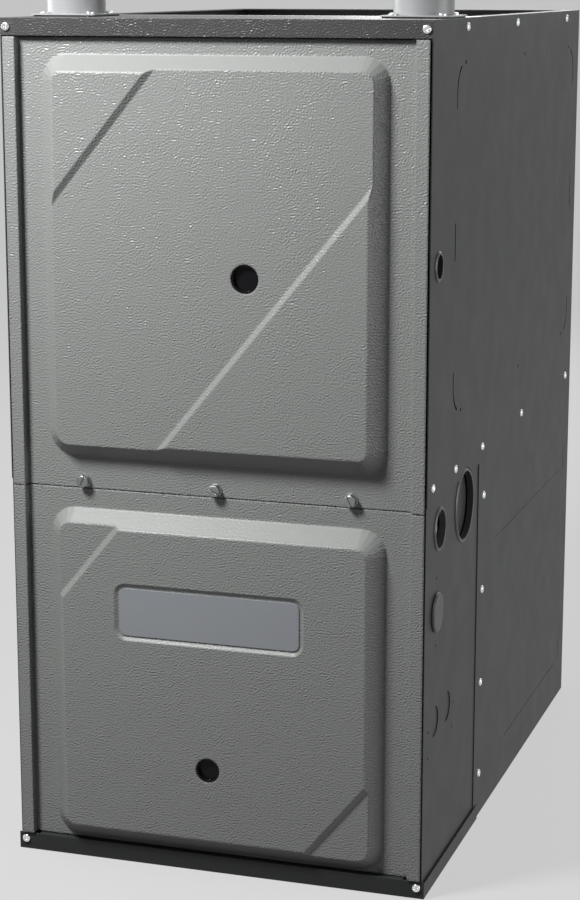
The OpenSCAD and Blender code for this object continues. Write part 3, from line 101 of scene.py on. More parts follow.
class Finish:
    """A Principled material whose varying sockets are written as expressions."""

    # How far a rounded normal has to lean from the true one to get the full painted edge highlight, as 1
    # less the cosine
    full_edge_light = 0.12

    def __init__(self, name, **constants):
        self.material = bpy.data.materials.new(name)
        self.material.use_nodes = True
        self.tree = self.material.node_tree
        self.tree.nodes.clear()
        self.shader = self.tree.nodes.new("ShaderNodeBsdfPrincipled")
        output = self.tree.nodes.new("ShaderNodeOutputMaterial")
        self.tree.links.new(self.shader.outputs[0], output.inputs[0])
        for key, value in constants.items():
            self.give(key.replace("_", " ").title().replace("Ior", "IOR"), value)

    def give(self, key, value):
        """Sets or links one input of the shader."""
        self.put(self.shader.inputs[key], value)
        return self

    def put(self, socket, value):
        if isinstance(value, Socket):
            self.tree.links.new(value.link, socket)
        elif socket.type == "RGBA" and len(value) == 3:
            socket.default_value = (*value, 1.0)
        elif socket.type == "VECTOR" and not hasattr(value, "__len__"):
            socket.default_value = (value, value, value)
        else:
            socket.default_value = value

    def node(self, kind, settings=None, inputs=None, out=0):
        """Adds a node: its settings first, then the values or links of its inputs."""
        made = self.tree.nodes.new(kind)
        for key, value in (settings or {}).items():
            setattr(made, key, value)
        for key, value in (inputs or {}).items():
            self.put(made.inputs[key], value)
        return Socket(self, made.outputs[out])

    def maths(self, operation, first, second):
        """One Math node, or one Vector Math node where either side is a vector."""
        sides = [s for s in (first, second) if isinstance(s, Socket)]
        vector = any(s.link.type == "VECTOR" for s in sides)
        kind = "ShaderNodeVectorMath" if vector else "ShaderNodeMath"
        return self.node(kind, {"operation": operation}, {0: first, 1: second})

    def mix(self, factor, first, second):
        """Blends two colours."""
        return self.node(
            "ShaderNodeMix", {"data_type": "RGBA"}, {0: factor, 6: first, 7: second}, 2)

    def place(self, size, stretch=(1, 1, 1)):
        """The place on the object, counted in steps of size millimetres."""
        here = self.node("ShaderNodeTexCoord", out="Object")
        return here * tuple(1 / (size * MM * s) for s in stretch)

    def noise(self, size, detail=2.0, rough=0.5, warp=0.0, stretch=(1, 1, 1)):
        """Noise whose lumps are about size millimetres across, around 0.5."""
        return self.node("ShaderNodeTexNoise", {}, {
            "Vector": self.place(size, stretch), "Scale": 1.0, "Detail": detail,
            "Roughness": rough, "Distortion": warp})

    def cells(self, size, feature="F1", bend=0.0, out="Distance", stretch=(1, 1, 1)):
        """Cells about size millimetres across, with bent borders where bend is over 0."""
        where = self.place(size, stretch)
        if bend:
            push = self.node("ShaderNodeTexNoise", {}, {
                "Vector": where, "Scale": 0.7, "Detail": 2.0}, "Color")
            where = where + self.node(
                "ShaderNodeVectorMath", {"operation": "SCALE"}, {0: push, "Scale": bend})
        return self.node(
            "ShaderNodeTexVoronoi", {"feature": feature}, {"Vector": where, "Scale": 1.0}, out)

    def waves(self, size):
        """Short crooked waves of one width, size millimetres from crest to crest."""
        return self.node("ShaderNodeTexGabor", {"gabor_type": "3D"}, {
            "Vector": self.place(size * 2), "Scale": 1.0, "Frequency": 2.0, "Anisotropy": 0.0})

    def facing(self, axis):
        """How squarely the surface faces along an axis of the object, 0 to 1."""
        normal = self.node("ShaderNodeNewGeometry", out="True Normal")
        return abs(self.node("ShaderNodeSeparateXYZ", {}, {0: normal}, axis))

    def rounded(self, radius):
        """The surface normal with its edges rounded, and how far that is from the true one."""
        soft = self.node("ShaderNodeBevel", {"samples": 4}, {"Radius": radius * MM})
        true = self.node("ShaderNodeNewGeometry", out="True Normal")
        along = self.node(
            "ShaderNodeVectorMath", {"operation": "DOT_PRODUCT"}, {0: soft, 1: true}, "Value")
        return soft, (1 - along).ramp(0.0, self.full_edge_light)

    def paint(self, blend, colour, dark, light, edge, edge_light, edge_light_tint):
        """Colours the surface between two tints, with a painted highlight that lightens the edges.
        Returns the rounded normal.
        """
        normal, edge_highlight = self.rounded(edge)
        body = self.mix(blend, tint(colour, dark), tint(colour, light))
        # Painted highlight: the edges are made lighter in the colour, as if they caught the light
        self.give("Base Color", self.mix(edge_highlight * edge_light, body, tint(colour, edge_light_tint)))
        return normal

    def bump(self, height, depth, normal=None):
        """Relief of depth millimetres for a height between 0 and 1."""
        inputs = {"Height": height, "Distance": depth * MM, "Strength": 1.0}
        if normal is not None:
            inputs["Normal"] = normal
        return self.give("Normal", self.node("ShaderNodeBump", {}, inputs))

    def done(self):
        return self.material


def tint(colour, factor):
    """A colour made lighter or darker."""
    return tuple(min(1.0, c * factor) for c in colour[:3])


# ---- Finishes ----

def enamel(name, colour, roughness):
    """Smooth baked enamel with a faint orange peel, and edges painted slightly lighter as a highlight."""
    peel_size = 3.6
    peel_depth = 0.06
    f = Finish(name, specular_ior_level=0.15)
    # The edges get a painted highlight
    normal = f.paint(f.noise(160, 3.0), colour, 0.95, 1.05, edge=0.8, edge_light=0.5, edge_light_tint=1.35)
    f.give("Roughness", roughness + (f.noise(35, 4.0) - 0.5) * 0.12)
    return f.bump(f.noise(peel_size, 3.0), peel_depth, normal).done()


def pebbled(name, colour, roughness, size, depth, edge):
    """Stucco embossed enamel: short crooked ridges that fade on the slopes that face up or down."""
    slope_fade = 0.85
    patch_fade = 0.38
    f = Finish(name, specular_ior_level=0.38)
    flat = 1 - slope_fade * f.facing("Z").ramp(0.25, 0.6)
    patches = f.noise(60, 2.0).ramp(0.30, 0.65)
    ridges = f.waves(size)
    strength = flat * (1 - patch_fade + patch_fade * patches)
    # Painted light: the relief's valleys take the darker tint and its crests the lighter as painted shade
    # and highlight, the slopes that face up or down take the lighter tint as a painted highlight for the
    # lit top slopes, and the edges are painted lighter as a highlight
    normal = f.paint(ridges * flat + (1 - flat), colour, 0.90, 1.08, edge, edge_light=0.25, edge_light_tint=1.3)
    f.give("Roughness", roughness + (f.noise(20, 4.0) - 0.5) * 0.10)
    return f.bump(ridges * strength, depth, normal).done()


def galvanised(name="galvanised_sheet", colour=(0.56, 0.585, 0.60)):
    """Hot dipped zinc: large angular spangles that shine each their own way."""
    spangle = 11
    f = Finish(name, metallic=1.0)
    grain = f.cells(spangle, "F1", 0.35, "Color")
    shade = f.node("ShaderNodeSeparateXYZ", {}, {0: grain}, 0)
    fine = f.noise(1.6, 4.0)
    # The edges get a painted highlight
    normal = f.paint(shade * 0.7 + fine * 0.3, colour, 0.80, 1.15, edge=0.5, edge_light=1.0, edge_light_tint=1.3)
    f.give("Roughness", 0.36 + shade * 0.14 + (f.noise(45, 3.0) - 0.5) * 0.2)
    return f.bump(fine * 0.3 + shade * 0.4, 0.02, normal).done()


def worked_metal(name, colour, roughness, lines=(1, 1, 1), grain=0.8, depth=0.01, stain=0.1):
    """Bare metal with the fine lines or grain of how it was made, and faint stains."""
    f = Finish(name, metallic=1.0)
    marks = f.noise(grain, 4.0, 0.6, stretch=lines)
    stains = f.noise(28, 4.0, 0.6)
    # The edges get a painted highlight
    normal = f.paint(
        stains.ramp(0.35, 0.75), colour, 1 + stain, 1 - stain, edge=0.4, edge_light=1.0, edge_light_tint=1.25)
    f.give("Roughness", roughness + (marks - 0.5) * 0.25 + (stains - 0.5) * 0.1)
    return f.bump(marks, depth, normal).done()


def moulded(name, colour, roughness, grain=0.9, depth=0.012, mottle=0.04, **constants):
    """Moulded plastic, rubber or ceramic with a fine spark eroded grain."""
    f = Finish(name, **constants)
    # The edges get a painted highlight
    normal = f.paint(
        f.noise(40, 3.0), colour, 1 - mottle, 1 + mottle, edge=0.5, edge_light=0.4, edge_light_tint=1.25)
    f.give("Roughness", roughness + (f.noise(12, 4.0) - 0.5) * 0.16)
    return f.bump(f.noise(grain, 3.0), depth, normal).done()


def crinkled_foil(name="foil_board", colour=(0.78, 0.79, 0.80)):
    """Thin foil pressed on insulation board, with creases and dents."""
    f = Finish(name, metallic=1.0)
    creases = f.cells(17, "DISTANCE_TO_EDGE", 1.4).ramp(0.0, 0.12)
    dents = f.noise(9, 3.0, 0.6, 0.6)
    f.give("Base Color", f.mix(dents, tint(colour, 0.88), tint(colour, 1.08)))
    f.give("Roughness", 0.24 + dents * 0.2)
    return f.bump(creases * 0.5 + dents * 0.5, 0.45).done()


def circuit_lacquer():
    """Green solder mask over copper tracks, with tinned pads."""
    colour = (0.012, 0.11, 0.045)
    f = Finish("circuit_board", specular_ior_level=0.6)
    tracks = f.cells(4.2, "DISTANCE_TO_EDGE", 0.25, stretch=(1, 1, 1.6)) < 0.09
    pads = (f.cells(5.4) < 0.16) * (f.facing("Y") > 0.9)
    mask = f.mix(tracks * 0.6, colour, tint(colour, 1.9))
    f.give("Base Color", f.mix(pads, mask, (0.62, 0.62, 0.60)))
    f.give("Metallic", pads * 0.9)
    f.give("Roughness", 0.32 + f.noise(7, 3.0) * 0.12)
    return f.bump(tracks * 0.6 + pads, 0.05).done()


def plate_enamel(colour):
    """The bare name plate: satin blue grey with a fine brushed line."""
    f = Finish("plate_enamel", specular_ior_level=0.5)
    lines = f.noise(0.5, 3.0, 0.6, stretch=(40, 1, 1))
    blend = lines * 0.5 + f.noise(60, 2.0) * 0.5
    # The edges get a painted highlight
    normal = f.paint(blend, colour, 0.93, 1.07, edge=0.4, edge_light=1.0, edge_light_tint=1.4)
    f.give("Roughness", 0.40 + (lines - 0.5) * 0.12)
    return f.bump(lines, 0.006, normal).done()


def turned_plastic(name, colour, roughness):
    """Light grey pipe plastic with fine rings left by turning."""
    f = Finish(name, specular_ior_level=0.5)
    rings = f.noise(1.1, 2.0, 0.7, stretch=(60, 60, 1))
    # The edges get a painted highlight
    normal = f.paint(rings, colour, 0.90, 1.06, edge=0.6, edge_light=0.6, edge_light_tint=1.2)
    f.give("Roughness", roughness + (rings - 0.5) * 0.18)
    return f.bump(rings, 0.05, normal).done()


def fin_stock():
    """Thin bare aluminium fins, each edge catching the light."""
    return worked_metal(
        "fin_stock", (0.74, 0.75, 0.76), 0.30, lines=(1, 1, 12), grain=1.5, depth=0.02, stain=0.06)


# ---- Mesh helpers ----

def smooth(mesh):
    """Smooth shading that keeps the edges sharper than the set angle."""
    mesh.shade_smooth()
    mesh.set_sharp_from_angle(angle=SMOOTH_ANGLE)


def dress(nodes, material):
    """Gives each named node of the frame its finish, with smooth shading over its rounded faces."""
    for node in nodes.split():
        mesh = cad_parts[node].data
        smooth(mesh)
        mesh.materials.clear()
        mesh.materials.append(material)
        for face in mesh.polygons:
            face.material_index = 0


def put_in_scene(name, data):
    """A new object that holds a mesh, a light or a camera."""
    made = bpy.data.objects.new(name, data)
    bpy.context.scene.collection.objects.link(made)
    return made


def add_piece(name, bm, material, body=CASING, stands_for=()):
    """Turns a bmesh into a piece that rides on a body."""
    bmesh.ops.recalc_face_normals(bm, faces=bm.faces)
    mesh = bpy.data.meshes.new(name)
    bm.to_mesh(mesh)
    bm.free()
    smooth(mesh)
    mesh.materials.append(material)
    made = put_in_scene(name, mesh)
    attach(made, body)
    if stands_for:
        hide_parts(*stands_for)


def solids_of(node):
    """The lowest and highest corner of each separate solid of a node."""
    bm = bmesh.new()
    bm.from_mesh(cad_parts[node].data)
    bmesh.ops.remove_doubles(bm, verts=bm.verts, dist=1e-6)
    left = set(bm.verts)
    boxes = []
    while left:
        wave = [left.pop()]
        points = []
        while wave:
            vert = wave.pop()
            points.append(vert.co.copy())
            near = {e.other_vert(vert) for e in vert.link_edges} & left
            left -= near
            wave.extend(near)
        low = Vector(min(p[i] for p in points) for i in range(3))
        high = Vector(max(p[i] for p in points) for i in range(3))
        boxes.append((low, high))
    bm.free()
    return sorted(boxes, key=lambda b: tuple(b[0]))


def upright(axis, spin=0.0):
    """A turn that takes +Z to the axis, after a spin about +Z."""
    turn = Vector((0, 0, 1)).rotation_difference(Vector(axis)).to_matrix().to_4x4()
    return turn @ Matrix.Rotation(spin, 4, "Z")


def lathe(bm, profile, frame_of, sectors=24):
    """Turns (radius, height) pairs about the local Z axis; a radius of 0 is a tip."""
    rings = []
    for radius, height in profile:
        if radius == 0:
            rings.append([bm.verts.new(frame_of @ Vector((0, 0, height)))])
            continue
        circle = []
        for k in range(sectors):
            angle = math.tau * k / sectors
            circle.append(bm.verts.new(
                frame_of @ Vector((radius * math.cos(angle), radius * math.sin(angle), height))))
        rings.append(circle)
    join_rings(bm, rings)


def join_rings(bm, rings):
    """Faces between neighbouring rings; a ring of one vertex is a tip."""
    for lower, upper in zip(rings, rings[1:]):
        count = max(len(lower), len(upper))
        for k in range(count):
            a, b = lower[k % len(lower)], lower[(k + 1) % len(lower)]
            c, d = upper[(k + 1) % len(upper)], upper[k % len(upper)]
            corners = list(dict.fromkeys((a, b, c, d)))
            if len(corners) > 2:
                bm.faces.new(corners)


def screw_head(bm, frame_of, radius_at, height_at, rings=14, sectors=48):
    """A head with any outline and crown: radius_at(angle), height_at(x, y, share of the radius)."""
    grid = [[bm.verts.new(frame_of @ Vector((0, 0, height_at(0, 0, 0))))]]
    for i in range(1, rings + 1):
        share = i / rings
        circle = []
        for k in range(sectors):
            angle = math.tau * k / sectors
            x = share * radius_at(angle) * math.cos(angle)
            y = share * radius_at(angle) * math.sin(angle)
            circle.append(bm.verts.new(frame_of @ Vector((x, y, height_at(x, y, share)))))
        grid.append(circle)
    skirt = []
    for k in range(sectors):
        angle = math.tau * k / sectors
        r = radius_at(angle)
        skirt.append(bm.verts.new(frame_of @ Vector((r * math.cos(angle), r * math.sin(angle), 0))))
    grid.append(skirt)
    join_rings(bm, grid)


def pan_crown(tall, recess):
    """Crown of a pan head with a cross recess: half an arm's width, its reach and its depth."""
    half, reach, deep = recess

    def height(x, y, share):
        crown = tall * (0.55 + 0.45 * math.sqrt(max(0.0, 1 - share ** 4)))
        arm = (abs(x) < half and abs(y) < reach) or (abs(y) < half and abs(x) < reach)
        return crown - (deep * (1.15 - max(abs(x), abs(y)) / reach) if arm else 0.0)
    return height


def threaded(length, radius, pitch):
    """Profile of a thread from the tip up to the head."""
    root = radius * 0.80
    profile = [(0.0, -length), (radius * 0.55, 0.3 * pitch - length)]
    for i in range(int(length / pitch)):
        base = -length + (i + 0.4) * pitch
        profile.append((root, base))
        profile.append((radius, base + pitch * 0.35))
    return profile + [(root, 0.0)]


def spline(points, steps=7):
    """A smooth route through given points."""
    ends = [points[0], *points, points[-1]]
    route = []
    for a, b, c, d in zip(ends, ends[1:], ends[2:], ends[3:]):
        for k in range(steps):
            t = k / steps
            bend = (2 * a - 5 * b + 4 * c - d) * t * t + (3 * b - a - 3 * c + d) * t ** 3
            route.append(0.5 * (2 * b + (c - a) * t + bend))
    return route + [points[-1]]


def frames_along(path):
    """Each point of a path with two directions square to it, carried along without twist."""
    side = (path[1] - path[0]).orthogonal()
    frames = []
    for i, here in enumerate(path):
        along = (path[min(i + 1, len(path) - 1)] - path[max(i - 1, 0)]).normalized()
        side = (side - along * side.dot(along)).normalized()
        frames.append((here, side, along.cross(side)))
    return frames


def tube(bm, path, radius, sectors=8):
    """A round tube along a path, closed at both ends."""
    rings = [[bm.verts.new(path[0])]]
    for here, side, up in frames_along(path):
        angles = [math.tau * k / sectors for k in range(sectors)]
        rings.append([
            bm.verts.new(here + radius * (math.cos(a) * side + math.sin(a) * up)) for a in angles])
    rings.append([bm.verts.new(path[-1])])
    join_rings(bm, rings)


def ring(bm, frame_of, inner, outer, low, high, sectors=28):
    """A band with a square section."""
    section = [(inner, low), (outer, low), (outer, high), (inner, high), (inner, low)]
    lathe(bm, section, frame_of, sectors)


def chamfered(bm, low, high, cut):
    """A box whose corners are all cut back, as a moulding's are."""
    made = bmesh.new()
    bmesh.ops.create_cube(made, size=1.0)
    middle, size = (Vector(low) + Vector(high)) / 2, Vector(high) - Vector(low)
    for vert in made.verts:
        vert.co = middle + Vector(vert.co[i] * size[i] for i in range(3))
    bmesh.ops.bevel(made, geom=made.edges[:], offset=cut, segments=2, affect="EDGES")
    mesh = bpy.data.meshes.new("chamfered")
    made.to_mesh(mesh)
    made.free()
    bm.from_mesh(mesh)
    bpy.data.meshes.remove(mesh)


# ---- What a user would change ----

def colour_setting(name, description, default):
    return FloatVectorProperty(name=name, description=description, subtype="COLOR", default=default)


def length_setting(name, description, default):
    return FloatProperty(name=name, description=description, subtype="DISTANCE", default=default)


class PaintSettings(bpy.types.PropertyGroup):
    door_colour: colour_setting("Door colour", "Enamel of both doors", (0.225, 0.232, 0.226))
    rail_colour: colour_setting("Rail colour", "Enamel of the top panel", (0.040, 0.041, 0.040))
    side_colour: colour_setting("Side colour", "Enamel of the sides and back", (0.040, 0.041, 0.041))
    base_colour: colour_setting("Base colour", "Enamel of the base pan", (0.034, 0.035, 0.035))
    plate_colour: colour_setting("Plate colour", "Bare plate on the lower door", (0.262, 0.275, 0.295))
    pebble_size: FloatProperty(
        name="Pebble size", description="Width of one pebble in millimetres", default=2.8,
        min=1.0, max=12.0)
    pebble_depth: FloatProperty(
        name="Pebble depth", description="Height of the pebbles in millimetres", default=0.9,
        min=0.0, max=3.0)


class FixingSettings(bpy.types.PropertyGroup):
    recess_width: length_setting("Recess width", "Width of a cross recess's arm", 0.0011)
    recess_reach: length_setting("Recess reach", "Reach of a cross recess's arm", 0.0022)
    recess_depth: length_setting("Recess depth", "Depth of a cross recess", 0.0013)
    pitch: length_setting("Thread pitch", "Pitch of the screws", 0.0014)
    seed: IntProperty(name="Seed", description="Chooses how each head is turned", default=7)


class WiringSettings(bpy.types.PropertyGroup):
    wire_radius: length_setting("Wire radius", "Outer radius of one wire", 0.00125)
    sleeve_radius: length_setting("Sleeve radius", "Radius of the sleeve at a wire's end", 0.0024)
    sleeve_length: length_setting("Sleeve length", "Length of that sleeve", 0.012)
    bundle_step: length_setting("Bundle step", "Spacing of the wires in the trunk", 0.0016)


class StudioSettings(bpy.types.PropertyGroup):
    floor_colour: colour_setting("Floor colour", "Colour that the camera sees", (0.55, 0.55, 0.555))
    key_power: FloatProperty(
        name="Key light", description="Power of the front light", subtype="POWER", default=34.5)
    fill_power: FloatProperty(
        name="Fill lights", description="Power of each side light", subtype="POWER", default=36.0)
    back_power: FloatProperty(
        name="Back light", description="Power of the light behind", subtype="POWER", default=40.0)
    ambient: FloatProperty(name="Ambient", description="Strength of the even light", default=0.04)
    lens: FloatProperty(
        name="Lens", description="Focal length", subtype="DISTANCE_CAMERA", default=88.144)
    camera_turn: FloatProperty(
        name="Camera turn", description="Turn about the vertical", subtype="ANGLE",
        default=math.radians(18.0853))
    camera_tilt: FloatProperty(
        name="Camera tilt", description="How far the camera looks down", subtype="ANGLE",
        default=math.radians(12.0435))
    camera_place: FloatVectorProperty(
        name="Camera place", description="Where the camera stands", subtype="TRANSLATION",
        default=(0.74440, -2.38697, 0.91276))


class FurnaceStep:
    """What all the operators share."""

    bl_options = {"REGISTER", "UNDO"}

    def execute(self, context):
        self.make(context.scene)
        return {"FINISHED"}


# ---- Operators ----

class FURNACE_OT_cabinet(FurnaceStep, bpy.types.Operator):
    """Finish the casing, its base pan, top panel, deck and liner"""
    bl_idname = "furnace.cabinet"
    bl_label = "Cabinet"

    def make(self, scene):
        paint = scene.furnace_paint
        dress("cabinet_wrapper", enamel("side_enamel", paint.side_colour, 0.46))
        dress("base_pan", enamel("base_enamel", paint.base_colour, 0.44))
        dress("top_panel", pebbled(
            "rail_enamel", paint.rail_colour, 0.40, size=2.6, depth=0.7, edge=0.9))
        dress("blower_deck vestibule_panel", galvanised())
        dress("cabinet_liner", crinkled_foil())


class FURNACE_OT_doors(FurnaceStep, bpy.types.Operator):
    """Finish both doors, their pads and sight glasses"""
    bl_idname = "furnace.doors"
    bl_label = "Doors"

    def make(self, scene):
        paint = scene.furnace_paint
        soft_edge = 2.6
        grey = pebbled(
            "door_enamel", paint.door_colour, 0.36, paint.pebble_size, paint.pebble_depth, soft_edge)
        board = crinkled_foil("pad_foil", (0.70, 0.71, 0.72))
        # The sight glass is near black and hardly reflects: painted shade for the dark space behind it
        glass = moulded(
            "sight_glass", (0.006, 0.006, 0.007), 0.22, grain=3.0, depth=0.004, mottle=0.2,
            specular_ior_level=0.12)
        for door in ("upper", "lower"):
            dress(door + "_door", grey)
            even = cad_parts[door + "_door"].modifiers.new("even_shading", "WEIGHTED_NORMAL")
            even.keep_sharp = True
            dress(door + "_door_pad", board)
            dress(door + "_sight_glass", glass)


class FURNACE_OT_name_plate(FurnaceStep, bpy.types.Operator):
    """Finish the bare plate in the lower door's recess"""
    bl_idname = "furnace.name_plate"
    bl_label = "Name plate"

    def make(self, scene):
        dress("name_plate", plate_enamel(scene.furnace_paint.plate_colour))


class FURNACE_OT_vents(FurnaceStep, bpy.types.Operator):
    """Finish the collars, their gaskets, the pipes and the coupling"""
    bl_idname = "furnace.vents"
    bl_label = "Vents"

    def make(self, scene):
        dress("pipe_collars", turned_plastic("collar_plastic", (0.27, 0.275, 0.28), 0.38))
        dress("vent_pipes", turned_plastic("pipe_plastic", (0.80, 0.80, 0.77), 0.32))
        dress("collar_gaskets flue_coupling", moulded(
            "black_rubber", (0.018, 0.018, 0.018), 0.62, grain=1.6, depth=0.03))


class FURNACE_OT_ports(FurnaceStep, bpy.types.Operator):
    """Finish the bushings, the vent port's cover and the plug on the right side"""
    bl_idname = "furnace.ports"
    bl_label = "Ports"

    def make(self, scene):
        side = scene.furnace_paint.side_colour
        dress("port_bushings", moulded("bushing_plastic", tint(side, 1.15), 0.40))
        dress("vent_port_cover", enamel("cover_enamel", tint(side, 1.1), 0.45))
        dress("side_plug", moulded("plug_plastic", tint(side, 0.75), 0.42))


class FURNACE_OT_screws(FurnaceStep, bpy.types.Operator):
    """Make the screws with their recesses and threads, and the thumb screws"""
    bl_idname = "furnace.screws"
    bl_label = "Screws"

    head_h = 2.4 * MM
    head_r = 4.2 * MM
    shank_r = 2.0 * MM

    def make(self, scene):
        fix = scene.furnace_fixings
        turn = random.Random(fix.seed)
        zinc = worked_metal(
            "bright_zinc", (0.80, 0.81, 0.80), 0.24, grain=0.6, depth=0.006, stain=0.05)
        for node, axis in (("side_screws", 0), ("front_screws", 1), ("collar_screws", 2)):
            bm = bmesh.new()
            for low, high in solids_of(node):
                way = Vector((0, 0, 0))
                way[axis] = -1.0 if axis == 1 or (axis == 0 and low[0] < 0) else 1.0
                tip = high[axis] if way[axis] > 0 else low[axis]
                seat = (low + high) / 2
                seat[axis] = tip - way[axis] * self.head_h
                shank = high[axis] - low[axis] - self.head_h
                spot = Matrix.Translation(seat) @ upright(way, turn.uniform(0, math.tau))
                recess = (fix.recess_width / 2, fix.recess_reach, fix.recess_depth)
                screw_head(bm, spot, lambda a: self.head_r, pan_crown(self.head_h, recess))
                lathe(bm, threaded(shank, self.shank_r, fix.pitch), spot, 12)
            add_piece(node + "_detailed", bm, zinc, stands_for=(node,))
        self.thumb_screws(turn)

    def thumb_screws(self, turn):
        """Hexagonal heads with a slot and a collar, on the upper door."""
        flat = 5.75 * MM
        height = 8.0 * MM
        slot_half = 0.7 * MM
        slot_deep = 1.4 * MM
        chamfer_from = 0.86 * flat
        chamfer_slope = 0.55
        collar = [(5.0 * MM, 0), (7.0 * MM, 0), (7.0 * MM, 0.9 * MM), (5.0 * MM, 1.1 * MM)]

        def outline(angle):
            return flat / math.cos((angle + math.pi / 6) % (math.pi / 3) - math.pi / 6)

        def crown(x, y, share):
            chamfer = chamfer_slope * max(0.0, math.hypot(x, y) - chamfer_from)
            return height - chamfer - (slot_deep if abs(y) < slot_half else 0.0)

        bm = bmesh.new()
        for low, high in solids_of("door_thumb_screws"):
            seat = (low + high) / 2
            seat[1] = low[1] + height
            spot = Matrix.Translation(seat) @ upright((0, -1, 0), turn.uniform(0, math.tau))
            screw_head(bm, spot, outline, crown, rings=16, sectors=60)
            lathe(bm, collar, spot, 32)
            shank = threaded(high[1] - low[1] - height, radius=2.4 * MM, pitch=1.2 * MM)
            lathe(bm, shank, spot, 16)
        nickel = worked_metal("dull_nickel", (0.24, 0.25, 0.25), 0.46, grain=0.6, stain=0.08)
        add_piece("thumb_screws_detailed", bm, nickel, "upper_door",
                  ("door_thumb_screws",))


class FURNACE_OT_heat_exchanger(FurnaceStep, bpy.types.Operator):
    """Finish the tubes, header, coil and collector box"""
    bl_idname = "furnace.heat_exchanger"
    bl_label = "Heat exchanger"

    def make(self, scene):
        dress("heat_exchanger_tubes", worked_metal(
            "aluminised_tube", (0.60, 0.59, 0.56), 0.42, lines=(1, 10, 1), grain=1.2, depth=0.02,
            stain=0.12))
        dress("hot_header_box", galvanised("header_sheet", (0.60, 0.60, 0.58)))
        dress("secondary_coil", fin_stock())
        dress("collector_box", moulded(
            "collector_plastic", (0.022, 0.022, 0.023), 0.48, grain=1.4, depth=0.03))


class FURNACE_OT_gas_train(FurnaceStep, bpy.types.Operator):
    """Finish the burners, the gas valve and what lights and guards them"""
    bl_idname = "furnace.gas_train"
    bl_label = "Gas train"

    def make(self, scene):
        dress("burner_box", galvanised("burner_sheet", (0.58, 0.60, 0.60)))
        dress("burners", worked_metal(
            "burner_steel", (0.62, 0.61, 0.58), 0.38, grain=1.0, depth=0.02))
        dress("gas_manifold", worked_metal(
            "pipe_zinc", (0.55, 0.55, 0.55), 0.45, lines=(12, 1, 1), grain=1.0, depth=0.02))
        dress("gas_orifices", worked_metal(
            "turned_brass", (0.80, 0.58, 0.24), 0.28, lines=(1, 12, 1), grain=0.6))
        dress("gas_valve", worked_metal(
            "die_casting", (0.60, 0.61, 0.63), 0.52, grain=0.7, depth=0.05, stain=0.06))
        dress("gas_valve_knob rollout_switches limit_switch pressure_switches",
              moulded("black_moulding", (0.02, 0.02, 0.021), 0.45))
        dress("rollout_button_left rollout_button_right",
              moulded("red_button", (0.55, 0.03, 0.02), 0.30))
        dress("igniter flame_sensor", moulded(
            "ceramic", (0.80, 0.77, 0.70), 0.55, grain=0.7, depth=0.03))


class FURNACE_OT_inducer(FurnaceStep, bpy.types.Operator):
    """Finish the inducer and the pressure hoses"""
    bl_idname = "furnace.inducer"
    bl_label = "Inducer"

    def make(self, scene):
        dress("inducer_housing", moulded(
            "inducer_plastic", (0.024, 0.024, 0.026), 0.5, grain=1.3, depth=0.03))
        dress("inducer_motor", enamel("motor_enamel", (0.035, 0.036, 0.038), 0.34))
        dress("inducer_wheel", moulded("wheel_plastic", (0.05, 0.05, 0.052), 0.4))
        dress("pressure_hoses", moulded(
            "hose_rubber", (0.014, 0.014, 0.014), 0.55, grain=2.0, depth=0.02))


class FURNACE_OT_blower(FurnaceStep, bpy.types.Operator):
    """Finish the blower, its motor and its rails"""
    bl_idname = "furnace.blower"
    bl_label = "Blower"

    def make(self, scene):
        dress("blower_housing blower_rails blower_wheel blower_blades motor_mount",
              galvanised("blower_sheet", (0.60, 0.62, 0.63)))
        dress("blower_motor", enamel("blower_motor_enamel", (0.03, 0.031, 0.033), 0.36))


class FURNACE_OT_controls(FurnaceStep, bpy.types.Operator):
    """Finish the control tray, board, transformer, junction box and door switch"""
    bl_idname = "furnace.controls"
    bl_label = "Controls"

    def make(self, scene):
        dress("control_tray junction_box", galvanised("tray_sheet", (0.58, 0.60, 0.61)))
        dress("control_board", circuit_lacquer())
        dress("board_relays", moulded("relay_plastic", (0.022, 0.022, 0.024), 0.35))
        dress("transformer", worked_metal(
            "lamination_steel", (0.20, 0.20, 0.205), 0.5, lines=(1, 1, 14), grain=0.9, depth=0.03))
        dress("door_switch", moulded("cream_moulding", (0.72, 0.69, 0.60), 0.42))
        dress("door_switch_plunger", moulded("plunger_plastic", (0.60, 0.04, 0.03), 0.34))


